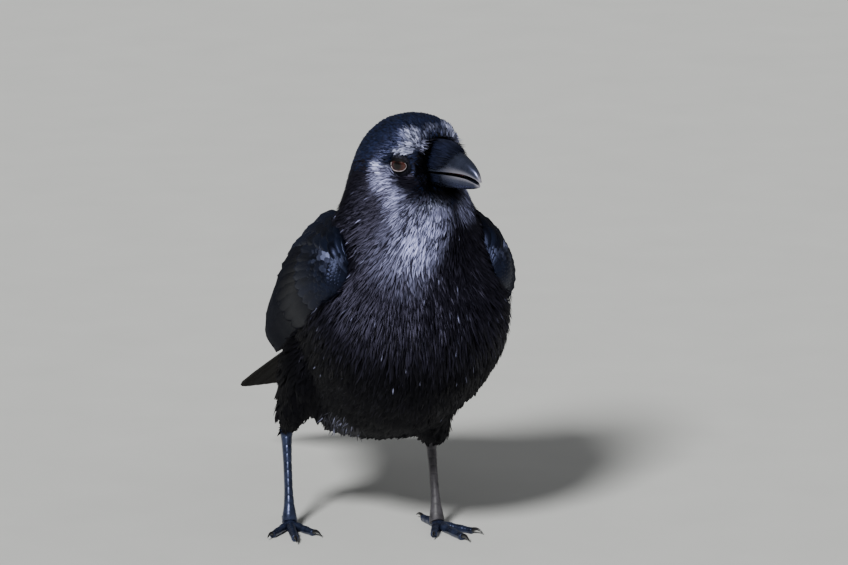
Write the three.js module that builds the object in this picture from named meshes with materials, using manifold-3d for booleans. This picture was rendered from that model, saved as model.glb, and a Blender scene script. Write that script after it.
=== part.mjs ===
// A standing crow at life size, as a still museum model. Millimetres, +Z up.
// The crow faces -Y, its left side is +X, and its head is turned to its left.
// Every solid is built about the crow's own midplane at X = 0, with the ground at Z = 0.
// The finished group is then moved so that its box stands centred on the origin.
import * as THREE from "three";
import { mergeVertices } from "three/addons/utils/BufferGeometryUtils.js";
import Module from "manifold-3d";

const wasm = await Module();
wasm.setup();

// ---------------------------------------------------------------- driving sizes

const GAP = 0.3; // between neighbouring solids
const HEAD_CENTRE = { front: 58, up: 262 }; // middle of the head, at eye level
const HEAD_TURN = THREE.MathUtils.degToRad(22); // to the crow's left
const TURN_STARTS = 200; // height at which the neck begins to twist
const TURN_ENDS = 246; // height above which the head is fully turned
const BILL_LENGTH = 77.5; // from the middle of the head to the tip
const EYE = { ahead: 19.8, aside: 18.9, above: 0.4, radius: 7.2 };
const TARSUS_FOOT = 7; // height of the joint between tarsus and toes
const FEET = {
  right: { left: -59, front: -14, toeOut: -1, ankleLeft: 3.5, ankleUp: 61, cuff: 1.1 },
  left: { left: 35, front: 14, toeOut: 1, ankleLeft: 1.5, ankleUp: 57, cuff: 1.45 },
};

const BODY_SIDES = 20; // points round a ring of the body
const BODY_STEPS = 2; // rings from one body station to the next

const MATERIALS = {
  plumage: new THREE.MeshStandardMaterial({ color: 0x0d0d12, roughness: 0.55, metalness: 0 }),
  flight_feather: new THREE.MeshStandardMaterial({ color: 0x0a0b12, roughness: 0.4, metalness: 0 }),
  bill: new THREE.MeshStandardMaterial({ color: 0x1c1e22, roughness: 0.35, metalness: 0 }),
  leg_skin: new THREE.MeshStandardMaterial({ color: 0x1f2126, roughness: 0.4, metalness: 0 }),
  claw: new THREE.MeshStandardMaterial({ color: 0x121214, roughness: 0.3, metalness: 0 }),
  eye: new THREE.MeshStandardMaterial({ color: 0x2a1710, roughness: 0.08, metalness: 0 }),
  tongue: new THREE.MeshStandardMaterial({ color: 0x8c5f66, roughness: 0.45, metalness: 0 }),
};

// ---------------------------------------------------------------- shared helpers

// A point given as the crow would say it: to its left, to its front and up.
const at = (left, front, up) => new THREE.Vector3(left, -front, up);

const smooth = (t) => THREE.MathUtils.smoothstep(t, 0, 1);

// Catmull-Rom value through equal-length rows of numbers, at u from 0 to 1.
function along(rows, u) {
  const place = THREE.MathUtils.clamp(u, 0, 1) * (rows.length - 1);
  const i = Math.min(Math.floor(place), rows.length - 2);
  const t = place - i;
  const [a, b, c, d] = [-1, 0, 1, 2].map((k) => rows[THREE.MathUtils.clamp(i + k, 0, rows.length - 1)]);
  return b.map((_, k) => {
    const bend = 2 * a[k] - 5 * b[k] + 4 * c[k] - d[k];
    const twist = 3 * b[k] - a[k] - 3 * c[k] + d[k];
    return b[k] + 0.5 * t * (c[k] - a[k] + t * (bend + t * twist));
  });
}

// One closed skin over rings that have the same even number of points. Each end is closed by
// a ladder between the two halves of its ring, so that a thin curved plate stays a plate.
function loft(rings) {
  const sides = rings[0].length;
  const last = (rings.length - 1) * sides;
  const faces = [];
  for (let j = 0; j < sides; j++) {
    const k = (j + 1) % sides;
    for (let i = 0; i < rings.length - 1; i++) {
      const [a, b] = [i * sides + j, i * sides + k];
      faces.push(a, b, b + sides, a, b + sides, a + sides);
    }
  }
  for (let j = 0; j < sides / 2 - 1; j++) {
    const [a, b, c, d] = [j, j + 1, sides - 2 - j, sides - 1 - j];
    faces.push(a, c, b, a, d, c, last + a, last + b, last + c, last + a, last + c, last + d);
  }
  const geometry = new THREE.BufferGeometry().setFromPoints(rings.flat());
  geometry.setIndex(faces);
  return geometry;
}

// A closed geometry as a solid that can be cut. Its faces are turned outwards if need be.
function solid(geometry) {
  for (const name of ["normal", "uv"]) geometry.deleteAttribute(name);
  const merged = mergeVertices(geometry, 1e-4);
  const index = new Uint32Array(merged.index.array);
  const build = () =>
    new wasm.Manifold(
      new wasm.Mesh({ numProp: 3, vertProperties: merged.attributes.position.array, triVerts: index }),
    );
  const made = build();
  if (made.volume() > 0) return made;
  for (let i = 0; i < index.length; i += 3) [index[i + 1], index[i + 2]] = [index[i + 2], index[i + 1]];
  return build();
}

const cut = (body, ...tools) => tools.reduce((rest, tool) => rest.subtract(tool), body);
const joined = (pieces) => pieces.reduce((sum, piece) => sum.add(piece));

// The room that a solid takes out of its neighbours: itself and a thin gap all round it.
const room = (make) => joined([make(0), make(GAP)]);

// The largest of the bodies that a cut has left.
const largest = (body) => body.decompose().sort((a, b) => b.volume() - a.volume())[0];

// The part of a body on the side of a plane that the normal points to.
const above = (body, normal, point) => {
  const n = normal.clone().normalize();
  return body.trimByPlane(n.toArray(), n.dot(point));
};

function mesh(name, body, material) {
  const { numProp, vertProperties, triVerts } = largest(body).getMesh();
  const count = vertProperties.length / numProp;
  const place = new Float32Array(count * 3);
  for (let i = 0; i < count; i++) place.set(vertProperties.subarray(i * numProp, i * numProp + 3), i * 3);
  const geometry = new THREE.BufferGeometry();
  geometry.setAttribute("position", new THREE.BufferAttribute(place, 3));
  geometry.setIndex(new THREE.BufferAttribute(triVerts, 1));
  geometry.computeVertexNormals();
  const made = new THREE.Mesh(geometry, material);
  made.name = name;
  return made;
}

const mirrored = (point) => new THREE.Vector3(-point.x, point.y, point.z);
const sided = (side, point) => (side === "left" ? point : mirrored(point));

// Turns a point of the neck or head with the head, about the upright line through the neck.
function turned(point) {
  const share = smooth((point.z - TURN_STARTS) / (TURN_ENDS - TURN_STARTS));
  const axis = at(0, HEAD_CENTRE.front, 0);
  return point.clone().sub(axis).applyAxisAngle(new THREE.Vector3(0, 0, 1), HEAD_TURN * share).add(axis);
}

// A round bar along points, with a half-width and a half-height at each of them.
function bar(points, halves, sides, grow = 0) {
  const rings = points.map((point, i) => {
    const ahead = points[Math.min(i + 1, points.length - 1)];
    const behind = points[Math.max(i - 1, 0)];
    const tangent = ahead.clone().sub(behind).normalize();
    const upright = Math.abs(tangent.z) > 0.8 ? new THREE.Vector3(0, 1, 0) : new THREE.Vector3(0, 0, 1);
    const side = tangent.clone().cross(upright).normalize();
    const up = side.clone().cross(tangent);
    const [wide, tall] = halves[i];
    return Array.from({ length: sides }, (_, j) => {
      const angle = (2 * Math.PI * j) / sides;
      return point
        .clone()
        .addScaledVector(side, (wide + grow) * Math.cos(angle))
        .addScaledVector(up, (tall + grow) * Math.sin(angle));
    });
  });
  return solid(loft(rings));
}

// ---------------------------------------------------------------- body, neck and head in one

// Each station is a slice that runs from a point on the back to a point on the belly or throat.
// back and belly are [front, up], wide is half its width, level is where it is widest, from 0
// at the belly to 1 at the back, and keel is how far the lower half draws in below that.
const STATIONS = [
  { back: [-127, 104], belly: [-118, 80], wide: 15, level: 0.5, keel: 1 }, // root of the tail
  { back: [-97, 129], belly: [-92, 75], wide: 31, level: 0.5, keel: 0.9 }, // rump
  { back: [-65, 155], belly: [-58, 68], wide: 45, level: 0.5, keel: 0.8 }, // vent
  { back: [-34, 180], belly: [-20, 61], wide: 57, level: 0.5, keel: 0.66 }, // loins
  { back: [-6, 203], belly: [26, 66], wide: 63.5, level: 0.54, keel: 1 }, // middle of the belly
  { back: [14, 216], belly: [76, 84], wide: 69, level: 0.54, keel: 1.3 }, // lower breast
  { back: [23, 224], belly: [109, 116], wide: 68.5, level: 0.46, keel: 1.15 }, // shoulders
  { back: [25, 231], belly: [120, 153], wide: 62, level: 0.44, keel: 1.05 }, // breast
  { back: [25, 239], belly: [115, 188], wide: 54, level: 0.5, keel: 1 }, // root of the neck
  { back: [24, 248], belly: [106, 215], wide: 45, level: 0.5, keel: 1 }, // neck
  { back: [24.5, 259], belly: [100, 233], wide: 37.5, level: 0.5, keel: 1 }, // nape and throat
  { back: [30, 274], belly: [97, 242], wide: 32.5, level: 0.48, keel: 1 }, // back of the head
  { back: [45, 287], belly: [95, 245.5], wide: 27.5, level: 0.56, keel: 1.4 }, // crown
  { back: [65, 292.5], belly: [94, 247], wide: 24.5, level: 0.66, keel: 1.6 }, // brow
  { back: [83, 288.5], belly: [94.5, 247.5], wide: 22, level: 0.72, keel: 1.8 }, // forehead
  { back: [94, 280], belly: [96, 248], wide: 12.8, level: 0.58, keel: 1.2 }, // feather edge at the bill
];

// Round the slice, a fuller section than an ellipse by this exponent.
const SECTION_POWER = 0.92;

function bodyRing(u) {
  const rows = STATIONS.map((s) => [...s.back, ...s.belly, s.wide, s.level, s.keel]);
  const [backFront, backUp, bellyFront, bellyUp, wide, level, keel] = along(rows, u);
  const back = at(0, backFront, backUp);
  const belly = at(0, bellyFront, bellyUp);
  const middle = belly.clone().lerp(back, level);
  return Array.from({ length: BODY_SIDES }, (_, j) => {
    const angle = (2 * Math.PI * (j + 0.5)) / BODY_SIDES;
    const over = Math.sin(angle);
    const power = SECTION_POWER * (over > 0 ? 1 : keel);
    const point = middle.clone().lerp(over > 0 ? back : belly, Math.abs(over) ** SECTION_POWER);
    point.x = wide * Math.sign(Math.cos(angle)) * Math.abs(Math.cos(angle)) ** power;
    return turned(point);
  });
}

function wholeBody() {
  const count = (STATIONS.length - 1) * BODY_STEPS;
  return solid(loft(Array.from({ length: count + 1 }, (_, i) => bodyRing(i / count))));
}

// ---------------------------------------------------------------- bill, tongue and eyes

// Rows run from the root of the bill to its tip: distance ahead of the head's middle,
// upper edge and lower edge above eye level, and half the width.
const UPPER_MANDIBLE = [
  [20, 15, -3.8, 10.8],
  [34, 16.2, -2.8, 10.2],
  [46, 15, -1.8, 8.8],
  [57, 11.4, -1.1, 6.9],
  [67, 6.8, -1.3, 4.7],
  [74, 1.6, -3.2, 2.5],
  [BILL_LENGTH, -3.6, -5.8, 0.8],
];
const LOWER_MANDIBLE = [
  [20, -5, -14.2, 9],
  [34, -4.4, -13.9, 8.4],
  [46, -3.9, -13.3, 7],
  [57, -3.7, -12.5, 5.4],
  [66, -4.2, -11.4, 3.8],
  [72, -5.8, -10.2, 2.3],
  [76, -7.4, -8.9, 0.8],
];
const PALATE_RISE = 1.4; // hollow of each mandible at its middle
const BILL_SIDES = 12;
const BILL_RINGS = 9;

// A point beside the bill's midline, before and after the head is turned.
const onHead = (aside, ahead, above) =>
  turned(at(aside, HEAD_CENTRE.front + ahead, HEAD_CENTRE.up + above));

// A mandible: an arch over a shallow hollow. hollow is +1 on the upper one and -1 on the lower.
function mandible(rows, hollow, grow = 0) {
  const rings = Array.from({ length: BILL_RINGS }, (_, i) => {
    const [ahead, top, bottom, half] = along(rows, i / (BILL_RINGS - 1));
    const rim = hollow > 0 ? bottom - grow : top + grow;
    const ridge = hollow > 0 ? top + grow : bottom - grow;
    const rise = Math.min(PALATE_RISE, Math.abs(ridge - rim) * 0.3) * hollow;
    return Array.from({ length: BILL_SIDES }, (_, j) => {
      const angle = (2 * Math.PI * j) / BILL_SIDES;
      const across = Math.cos(angle);
      const over = Math.sin(angle);
      const height =
        over >= 0 ? (ridge - rim) * over ** 0.85 : rise * (grow ? 0 : 1 - across ** 2);
      return onHead((half + grow) * across, ahead + (i ? grow : -grow), rim + height);
    });
  });
  return solid(loft(rings));
}

const upperBill = (grow) => mandible(UPPER_MANDIBLE, 1, grow);
const lowerBill = (grow) => mandible(LOWER_MANDIBLE, -1, grow);

function tongue() {
  const rows = [[39, 2.6], [46, 2.7], [54, 2.1], [60, 1.2]];
  const points = rows.map(([ahead]) => onHead(0, ahead, -2.9));
  return bar(points, rows.map(([, half]) => [half, 0.8]), 6);
}

function eye(side, grow = 0) {
  const centre = onHead((side === "left" ? 1 : -1) * EYE.aside, EYE.ahead, EYE.above);
  const ball = new THREE.SphereGeometry(EYE.radius + grow, 12, 8);
  ball.translate(centre.x, centre.y, centre.z);
  return solid(ball);
}

// ---------------------------------------------------------------- wings and tail

// The folded wing is a curved plate between its lower edge, its fullest line and its upper
// edge. Each row is [left, front, up] of the left wing, from the wrist to the tip.
const WING_LOWER = [
  [50, 90, 184], [62, 76, 173], [67.5, 46, 154], [66, 0, 131],
  [56, -62, 114], [37, -118, 102], [17, -170, 82],
];
const WING_FULL = [
  [49, 91, 192], [59, 74, 198], [67.5, 35, 187.5], [64.5, -14, 165],
  [51, -74, 134], [34, -126, 108], [15, -174, 85],
];
const WING_UPPER = [
  [44, 84, 203], [44, 60, 219], [36, 22, 220], [25, -30, 193],
  [14, -86, 151], [11, -132, 117], [7, -178, 89],
];
const WING_END = 0.8; // share of the length at which the secondaries end
const WING_RINGS = 12;
const WING_ACROSS = 7;

function wingPoint(s, t) {
  const [low, full, high] = [WING_LOWER, WING_FULL, WING_UPPER].map((rows) => at(...along(rows, s)));
  const pull = full.multiplyScalar(2).sub(low.clone().add(high).multiplyScalar(0.5));
  return new THREE.QuadraticBezierCurve3(low, pull, high).getPoint(t);
}

function wingNormal(s, t) {
  const step = 0.01;
  const lengthwise = wingPoint(Math.min(s + step, 1), t).sub(wingPoint(Math.max(s - step, 0), t));
  const crosswise = wingPoint(s, Math.min(t + step, 1)).sub(wingPoint(s, Math.max(t - step, 0)));
  const normal = crosswise.cross(lengthwise).normalize();
  return normal.x < 0 ? normal.negate() : normal;
}

// A plate on the wing surface. edge(v, e) gives the [s, t] of a point at share v of its
// length and share e of its width, half its thickness is thick(v, e), and rise lifts it.
function plate(side, edge, thick, rise, rings, across, grow = 0) {
  const rows = Array.from({ length: rings }, (_, i) => {
    const v = i / (rings - 1);
    return Array.from({ length: across }, (_, j) => {
      const e = j / (across - 1);
      const [s, t] = edge(v, e);
      const normal = wingNormal(s, t);
      return { point: wingPoint(s, t).addScaledVector(normal, rise), normal, half: thick(v, e) + grow };
    });
  });
  const pushed = (end, next) => end.point.add(end.point.clone().sub(next.point).setLength(grow));
  if (grow > 0) {
    rows[0].forEach((end, j) => pushed(end, rows[1][j]));
    rows[rings - 1].forEach((end, j) => pushed(end, rows[rings - 2][j]));
    rows.forEach((row) => {
      pushed(row[0], row[1]);
      pushed(row[across - 1], row[across - 2]);
    });
  }
  const loops = rows.map((row) => {
    const outer = row.map(({ point, normal, half }) => point.clone().addScaledVector(normal, half));
    const inner = row.map(({ point, normal, half }) => point.clone().addScaledVector(normal, -half));
    return [...outer, ...inner.reverse()].map((point) => sided(side, point));
  });
  return solid(loft(loops));
}

// Coverts, scapulars and secondaries: thick at the shoulder and thin at every edge.
function wing(side, grow = 0) {
  const edge = (v, e) => [WING_END * (v * (0.86 + 0.14 * Math.sin(Math.PI * (0.15 + 0.7 * e)))), e];
  const full = (v) => 5.6 * smooth(v / 0.16) * (1 - v) ** 0.6;
  const thick = (v, e) => 0.9 + full(v) * (1 - Math.abs(2 * e - 1) ** 3);
  return plate(side, edge, thick, 0, WING_RINGS, WING_ACROSS, grow);
}

// The long primaries, from under the secondaries to the tip. Their ends are stepped.
const PRIMARIES = 5;
const PRIMARY_ROOT = 0.6; // share of the wing's length at which they come out
function primaries(side) {
  const edge = (v, e) => {
    const place = Math.min(e * PRIMARIES, PRIMARIES - 1e-6);
    const feather = Math.floor(place);
    const off = 2 * (place - feather) - 1;
    const tip = 1 - 0.036 * feather - 0.02 * off ** 2;
    return [PRIMARY_ROOT + (tip - PRIMARY_ROOT) * v, 0.08 + 0.84 * e];
  };
  return plate(side, edge, () => 0.9, -1.8, 4, 3 * PRIMARIES + 1);
}

// The tail: twelve feathers in a shallow arched fan, the middle pair on top.
const TAIL = {
  root: { front: -88, up: 118 },
  slope: THREE.MathUtils.degToRad(26.5),
  length: 138,
  pairs: 6,
  spread: THREE.MathUtils.degToRad(4), // of the outermost feather from the midline
  rootHalf: 20, // from the middle feather's root to the outermost one's
  half: 10.5, // half the width of one feather
  step: 0.7, // each pair lies this far below the one inside it
};

function tailFeather(side, k) {
  const share = k / (TAIL.pairs - 1);
  const angle = TAIL.spread * share;
  const sign = side === "left" ? 1 : -1;
  const length = TAIL.length - 9 * share ** 2;
  const shares = [0, 0.86, 0.94, 1];
  const made = shares.map((v) => {
    const round = Math.sqrt(1 - Math.max(0, (v - 0.86) / 0.14) ** 2);
    const half = TAIL.half * (0.5 + 0.5 * v) * Math.max(0.2, round);
    const reach = length * v;
    return [[-1, 0], [0, 1], [1, 0], [0, -1]].map(([across, over]) => {
      const aside = reach * Math.sin(angle) + half * across + 1.2 + TAIL.rootHalf * share;
      const back = reach * Math.cos(angle);
      const sag = 2.5 * v + TAIL.step * k;
      return at(
        sign * aside,
        TAIL.root.front - back * Math.cos(TAIL.slope) - sag * Math.sin(TAIL.slope),
        TAIL.root.up - back * Math.sin(TAIL.slope) - sag * Math.cos(TAIL.slope) + 0.85 * over,
      );
    });
  });
  return solid(loft(made));
}

function tail() {
  const feathers = ["left", "right"].flatMap((side) =>
    Array.from({ length: TAIL.pairs }, (_, k) => tailFeather(side, k)),
  );
  return joined(feathers);
}

// ---------------------------------------------------------------- legs and feet

// Each toe: heading from straight ahead towards the outside, length, radius and claw length.
const TOES = {
  middle: { heading: 4, length: 37, radius: 3.3, claw: 11 },
  inner: { heading: -27, length: 26, radius: 3.1, claw: 10 },
  outer: { heading: 33, length: 28, radius: 3, claw: 9.5 },
  hind: { heading: 182, length: 20, radius: 3.2, claw: 13 },
};
const TOE_SIDES = 8;
const TOE_RINGS = 4;
const FLAT = 0.28; // how far a toe's round underside is cut away to make its flat

const ground = new THREE.Vector3(0, 0, 1);
const onGround = (body) => above(body, ground, new THREE.Vector3());

const ankle = ({ left, front, ankleLeft, ankleUp }) => at(left + ankleLeft, front - 18, ankleUp);
const footJoint = ({ left, front }) => at(left, front, TARSUS_FOOT);

// The bare shank, from the ankle knuckle to the joint of the toes.
function shank(side, grow = 0) {
  const foot = FEET[side];
  const rows = [
    [0, 4.1, 5], [0.06, 4.6, 5.6], [0.16, 3.4, 4.5], [0.4, 2.8, 4.0],
    [0.7, 2.8, 3.9], [0.88, 3.6, 4.3], [0.97, 5, 5.2], [1.03, 5.4, 5.2],
  ];
  const top = ankle(foot).add(at(0, -2, 5));
  const points = rows.map(([share]) => top.clone().lerp(footJoint(foot), share));
  const shaft = bar(points, rows.map(([, wide, deep]) => [wide, deep]), 10, grow);
  const sole = new THREE.SphereGeometry(1, 8, 6);
  sole.scale(6.2 + grow, 6.6 + grow, 5 + grow);
  const centre = footJoint(foot);
  sole.translate(centre.x, centre.y, 4.8);
  return onGround(joined([shaft, solid(sole)]));
}

function toeLine(side, { heading, length, radius }, grow) {
  const foot = FEET[side];
  const angle = THREE.MathUtils.degToRad(heading + 6) * foot.toeOut;
  const points = [];
  const halves = [];
  for (let i = 0; i < TOE_RINGS; i++) {
    const v = i / (TOE_RINGS - 1);
    const half = radius * (1 - 0.22 * v);
    const reach = 1 + length * v;
    const aside = foot.left + reach * Math.sin(angle);
    const ahead = foot.front + reach * Math.cos(angle);
    points.push(at(aside, ahead, half * (1 - FLAT) + 0.5 * (1 - v)));
    halves.push([half, half]);
  }
  return { points, halves, angle, body: bar(points, halves, TOE_SIDES, grow) };
}

function claw(side, toe) {
  const { points, angle } = toeLine(side, toe, 0);
  const root = points[points.length - 1];
  const rings = 4;
  const line = [];
  const halves = [];
  for (let i = 0; i < rings; i++) {
    const v = i / (rings - 1);
    const reach = -1.6 + toe.claw * v;
    const lift = 1.2 + 3.4 * Math.sin(Math.PI * (0.12 + 0.62 * v)) - 2.2 - 1.6 * v ** 2;
    line.push(
      at(root.x + reach * Math.sin(angle), -root.y + reach * Math.cos(angle), Math.max(0.75, root.z + lift)),
    );
    const half = toe.radius * 0.52 * (1 - v) ** 0.8 + 0.3;
    halves.push([half * 0.85, half]);
  }
  return onGround(bar(line, halves, 6));
}

// The feathered thigh, from inside the flank down to the ankle: share of the way from the
// knee, half its width and half its depth. A foot's cuff makes its lower end that much wider.
const KNEE = { right: at(-58, 14, 114), left: at(30, 38, 106) };
const THIGH = [
  [-0.5, 5, 8], [-0.36, 12, 18], [-0.1, 16, 24], [0.2, 15, 22], [0.5, 11, 16.5],
  [0.75, 8.4, 12], [0.9, 6.6, 8.6], [1, 5.4, 6.6],
];

function thigh(side, grow = 0) {
  const low = ankle(FEET[side]);
  const points = THIGH.map(([share]) => KNEE[side].clone().lerp(low, share));
  const cuff = (share) => 1 + (FEET[side].cuff - 1) * smooth((share - 0.4) / 0.4);
  return bar(points, THIGH.map(([share, wide, deep]) => [wide * cuff(share), deep]), 10, grow);
}

function leg(side) {
  const shankRoom = room((grow) => shank(side, grow));
  const toeRoom = (toe) => room((grow) => toeLine(side, toe, grow).body);
  const parts = [
    mesh(`shank_${side}`, shank(side), MATERIALS.leg_skin),
    mesh(`thigh_${side}`, cut(thigh(side), shankRoom), MATERIALS.plumage),
  ];
  for (const [name, toe] of Object.entries(TOES)) {
    const beside = name === "inner" || name === "outer" ? [toeRoom(TOES.middle)] : [];
    const flesh = onGround(toeLine(side, toe, 0).body);
    parts.push(mesh(`toe_${name}_${side}`, cut(flesh, shankRoom, ...beside), MATERIALS.leg_skin));
    parts.push(mesh(`claw_${name}_${side}`, cut(claw(side, toe), toeRoom(toe)), MATERIALS.claw));
  }
  return parts;
}

// ---------------------------------------------------------------- the cut bird

// The planes between head and neck and between neck and trunk, as a point and a normal.
const NECK_TOP = { point: at(0, 60, 242), normal: at(0, 0.22, 1) };
const NECK_FOOT = { point: at(0, 66, 203), normal: at(0, 0.3, 1) };

function between(body, lower, upper) {
  let rest = body;
  if (lower) {
    const n = lower.normal.clone().normalize();
    rest = above(rest, n, lower.point.clone().addScaledVector(n, GAP / 2));
  }
  if (upper) {
    const n = upper.normal.clone().normalize();
    rest = above(rest, n.clone().negate(), upper.point.clone().addScaledVector(n, -GAP / 2));
  }
  return rest;
}

function crowMeshes() {
  const sides = ["left", "right"];
  const wingRoom = Object.fromEntries(sides.map((side) => [side, room((grow) => wing(side, grow))]));
  const thighRoom = Object.fromEntries(sides.map((side) => [side, room((grow) => thigh(side, grow))]));
  const flesh = cut(wholeBody(), ...sides.flatMap((side) => [wingRoom[side], thighRoom[side]]));
  const face = [upperBill, lowerBill, ...sides.map((side) => (grow) => eye(side, grow))];
  const trunk = cut(between(flesh, null, NECK_FOOT), tailBed());
  const parts = [
    mesh("trunk", trunk, MATERIALS.plumage),
    mesh("neck", between(flesh, NECK_FOOT, NECK_TOP), MATERIALS.plumage),
    mesh("head", cut(between(flesh, NECK_TOP, null), ...face.map(room)), MATERIALS.plumage),
    mesh("bill_upper", upperBill(0), MATERIALS.bill),
    mesh("bill_lower", lowerBill(0), MATERIALS.bill),
    mesh("tongue", cut(tongue(), room(upperBill), room(lowerBill)), MATERIALS.tongue),
    mesh("tail", tail(), MATERIALS.flight_feather),
  ];
  for (const side of sides) {
    const underWing = cut(primaries(side), wingRoom[side], thighRoom[side], wholeBody());
    parts.push(mesh(`eye_${side}`, eye(side), MATERIALS.eye));
    parts.push(mesh(`wing_${side}`, cut(wing(side), thighRoom[side]), MATERIALS.flight_feather));
    parts.push(mesh(`primaries_${side}`, underWing, MATERIALS.flight_feather));
    parts.push(...leg(side));
  }
  return parts;
}

// The space that the roots of the tail feathers take out of the rump.
function tailBed() {
  const points = [0, 30, 60].map((back) =>
    at(
      0,
      TAIL.root.front + 2 - back * Math.cos(TAIL.slope),
      TAIL.root.up - 1.6 - back * Math.sin(TAIL.slope),
    ),
  );
  return bar(points, [[28.5, 4.8], [31.5, 5], [36, 5.2]], 16);
}

// The group's box stands on the ground with its middle over the origin.
const crow = new THREE.Group();
crow.add(...crowMeshes());
const box = new THREE.Box3().setFromObject(crow);
const middle = box.getCenter(new THREE.Vector3());
crow.position.set(-middle.x, -middle.y, -box.min.z);

export default crow;
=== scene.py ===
# %% [markdown]
# # A standing crow
# A life-size, all-black crow stands on both feet with its head turned to its left. The fixed
# solids give its size and its pose. This lesson dresses them: one skin, a coat of thousands of
# small feathers, long wing and tail feathers, and a bill, eyes, legs and feet in full detail.

# %% Load the solids
import math
import bpy
import numpy as np
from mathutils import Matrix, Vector
from mathutils.bvhtree import BVHTree


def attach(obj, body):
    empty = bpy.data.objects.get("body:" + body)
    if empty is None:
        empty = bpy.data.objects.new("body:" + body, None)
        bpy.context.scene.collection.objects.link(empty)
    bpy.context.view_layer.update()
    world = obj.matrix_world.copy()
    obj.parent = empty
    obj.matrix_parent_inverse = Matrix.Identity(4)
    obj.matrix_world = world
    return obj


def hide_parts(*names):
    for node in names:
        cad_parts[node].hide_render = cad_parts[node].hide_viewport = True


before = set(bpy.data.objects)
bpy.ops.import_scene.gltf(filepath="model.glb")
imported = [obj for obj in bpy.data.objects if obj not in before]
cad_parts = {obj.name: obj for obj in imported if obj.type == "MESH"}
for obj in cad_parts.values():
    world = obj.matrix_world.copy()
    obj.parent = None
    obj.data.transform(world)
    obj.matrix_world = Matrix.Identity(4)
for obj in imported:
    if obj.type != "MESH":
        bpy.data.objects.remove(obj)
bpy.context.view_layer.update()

# %% [markdown]
# The crow is measured in millimetres about its own midplane: to its left, to its front and up.
# Blender works in metres with the crow facing -Y, so one function turns the first into the
# second. Blender's operators act on whatever is selected, so a second one selects only what
# it is given.

# %% Places and selection
MM = 0.001
SHIFT = np.array([3.21, -41.23, 0.0])


def at(left, front, up):
    """Points as rows, from their three measures in mm."""
    return np.stack(np.broadcast_arrays(left, -np.asarray(front, float), up), -1).astype(float)


def placed(points, side="left"):
    """Points in mm as places in the scene in metres. On the right side they are mirrored first."""
    flip = np.array([1.0 if side == "left" else -1.0, 1, 1])
    return (points * flip + SHIFT) * MM


def only(*objects):
    for other in bpy.context.selected_objects:
        other.select_set(False)
    for o in objects:
        o.select_set(True)
    bpy.context.view_layer.objects.active = objects[0]


def smooth(share):
    share = np.clip(share, 0, 1)
    return share * share * (3 - 2 * share)


def along(rows, share):
    """A smooth curve through rows, at a share of the way from the first to the last."""
    rows = np.asarray(rows, float)
    share = np.clip(share, 0, 1) * (len(rows) - 1)
    i = np.minimum(np.floor(share).astype(int), len(rows) - 2)
    t = (share - i)[..., None]
    a, b, c, d = (rows[np.clip(i + k, 0, len(rows) - 1)] for k in (-1, 0, 1, 2))
    return b + 0.5 * t * (c - a + t * (2 * a - 5 * b + 4 * c - d + t * (3 * b - a - 3 * c + d)))


def unit(vectors):
    return vectors / np.maximum(np.linalg.norm(vectors, axis=-1, keepdims=True), 1e-9)


# %% [markdown]
# The head and the top of the neck are modelled straight ahead and then turned 22 degrees to
# the crow's left, little by little up the neck. Both ways of that turn are needed: forwards to
# build on the head, and back to ask where on a straight crow a point would be.

# %% The turn of the head
HEAD_FRONT, HEAD_UP, HEAD_TURN = 58, 262, math.radians(22)


def turned(points, way=1):
    """Points of a straight crow with the head turned, or the other way round if way is -1."""
    angle = way * HEAD_TURN * smooth((points[..., 2] - 200) / 46)
    x, y = points[..., 0], points[..., 1] + HEAD_FRONT
    c, s = np.cos(angle), np.sin(angle)
    return np.stack([x * c - y * s, x * s + y * c - HEAD_FRONT, points[..., 2]], -1)


def on_head(aside, ahead, above):
    """A point on the turned head, in mm from the head's middle."""
    return turned(at(aside, HEAD_FRONT + np.asarray(ahead, float), HEAD_UP + np.asarray(above, float)))


def straight(metres):
    """Where points in the scene would be on a crow that looks straight ahead: left, front and up."""
    points = turned(np.asarray(metres) / MM - SHIFT, -1)
    return points[..., 0], -points[..., 1], points[..., 2]


# %% [markdown]
# ## Camera, floor and light
# The camera stands low in front of the crow and looks at it from slightly to its right, through
# a long lens, so that the view has little perspective. One large soft lamp stands high in
# front, a little to the camera's left, and a weak and very wide one lightens the other side. The
# light from all round is weak too, so that black feathers stay black.

# %% Camera and lamps
LENS, SENSOR, CAMERA_DISTANCE = 286.6, 36, 4.5
AIM_RIGHT, AIM_UP = 0.04067, 0.16367  # from between the feet to the middle of the view
feet = Vector((-0.0088, -0.0412, 0))
right = Vector((0.9563, -0.2924, 0))
back = Vector((-0.2860, -0.9354, 0.2079))
rise = back.cross(right)
target = feet + right * AIM_RIGHT + rise * AIM_UP
camera = bpy.data.objects.new("camera", bpy.data.cameras.new("camera"))
bpy.context.scene.collection.objects.link(camera)
camera.data.lens, camera.data.sensor_width = LENS, SENSOR
camera.data.clip_end = 50
camera.location = target + back * CAMERA_DISTANCE
camera.rotation_mode = "QUATERNION"
camera.rotation_quaternion = (-back).to_track_quat("-Z", "Y")
bpy.context.scene.camera = camera


def lamp(name, direction, softness, strength):
    """A sun lamp: its direction is to the camera's right, towards the camera and up."""
    data = bpy.data.lights.new(name, "SUN")
    data.angle, data.energy = math.radians(softness), strength
    o = bpy.data.objects.new(name, data)
    bpy.context.scene.collection.objects.link(o)
    nearer = Vector((back.x, back.y, 0)).normalized()
    towards = (right * direction[0] + nearer * direction[1] + Vector((0, 0, direction[2]))).normalized()
    o.rotation_mode = "QUATERNION"
    o.rotation_quaternion = towards.to_track_quat("Z", "Y")


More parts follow.
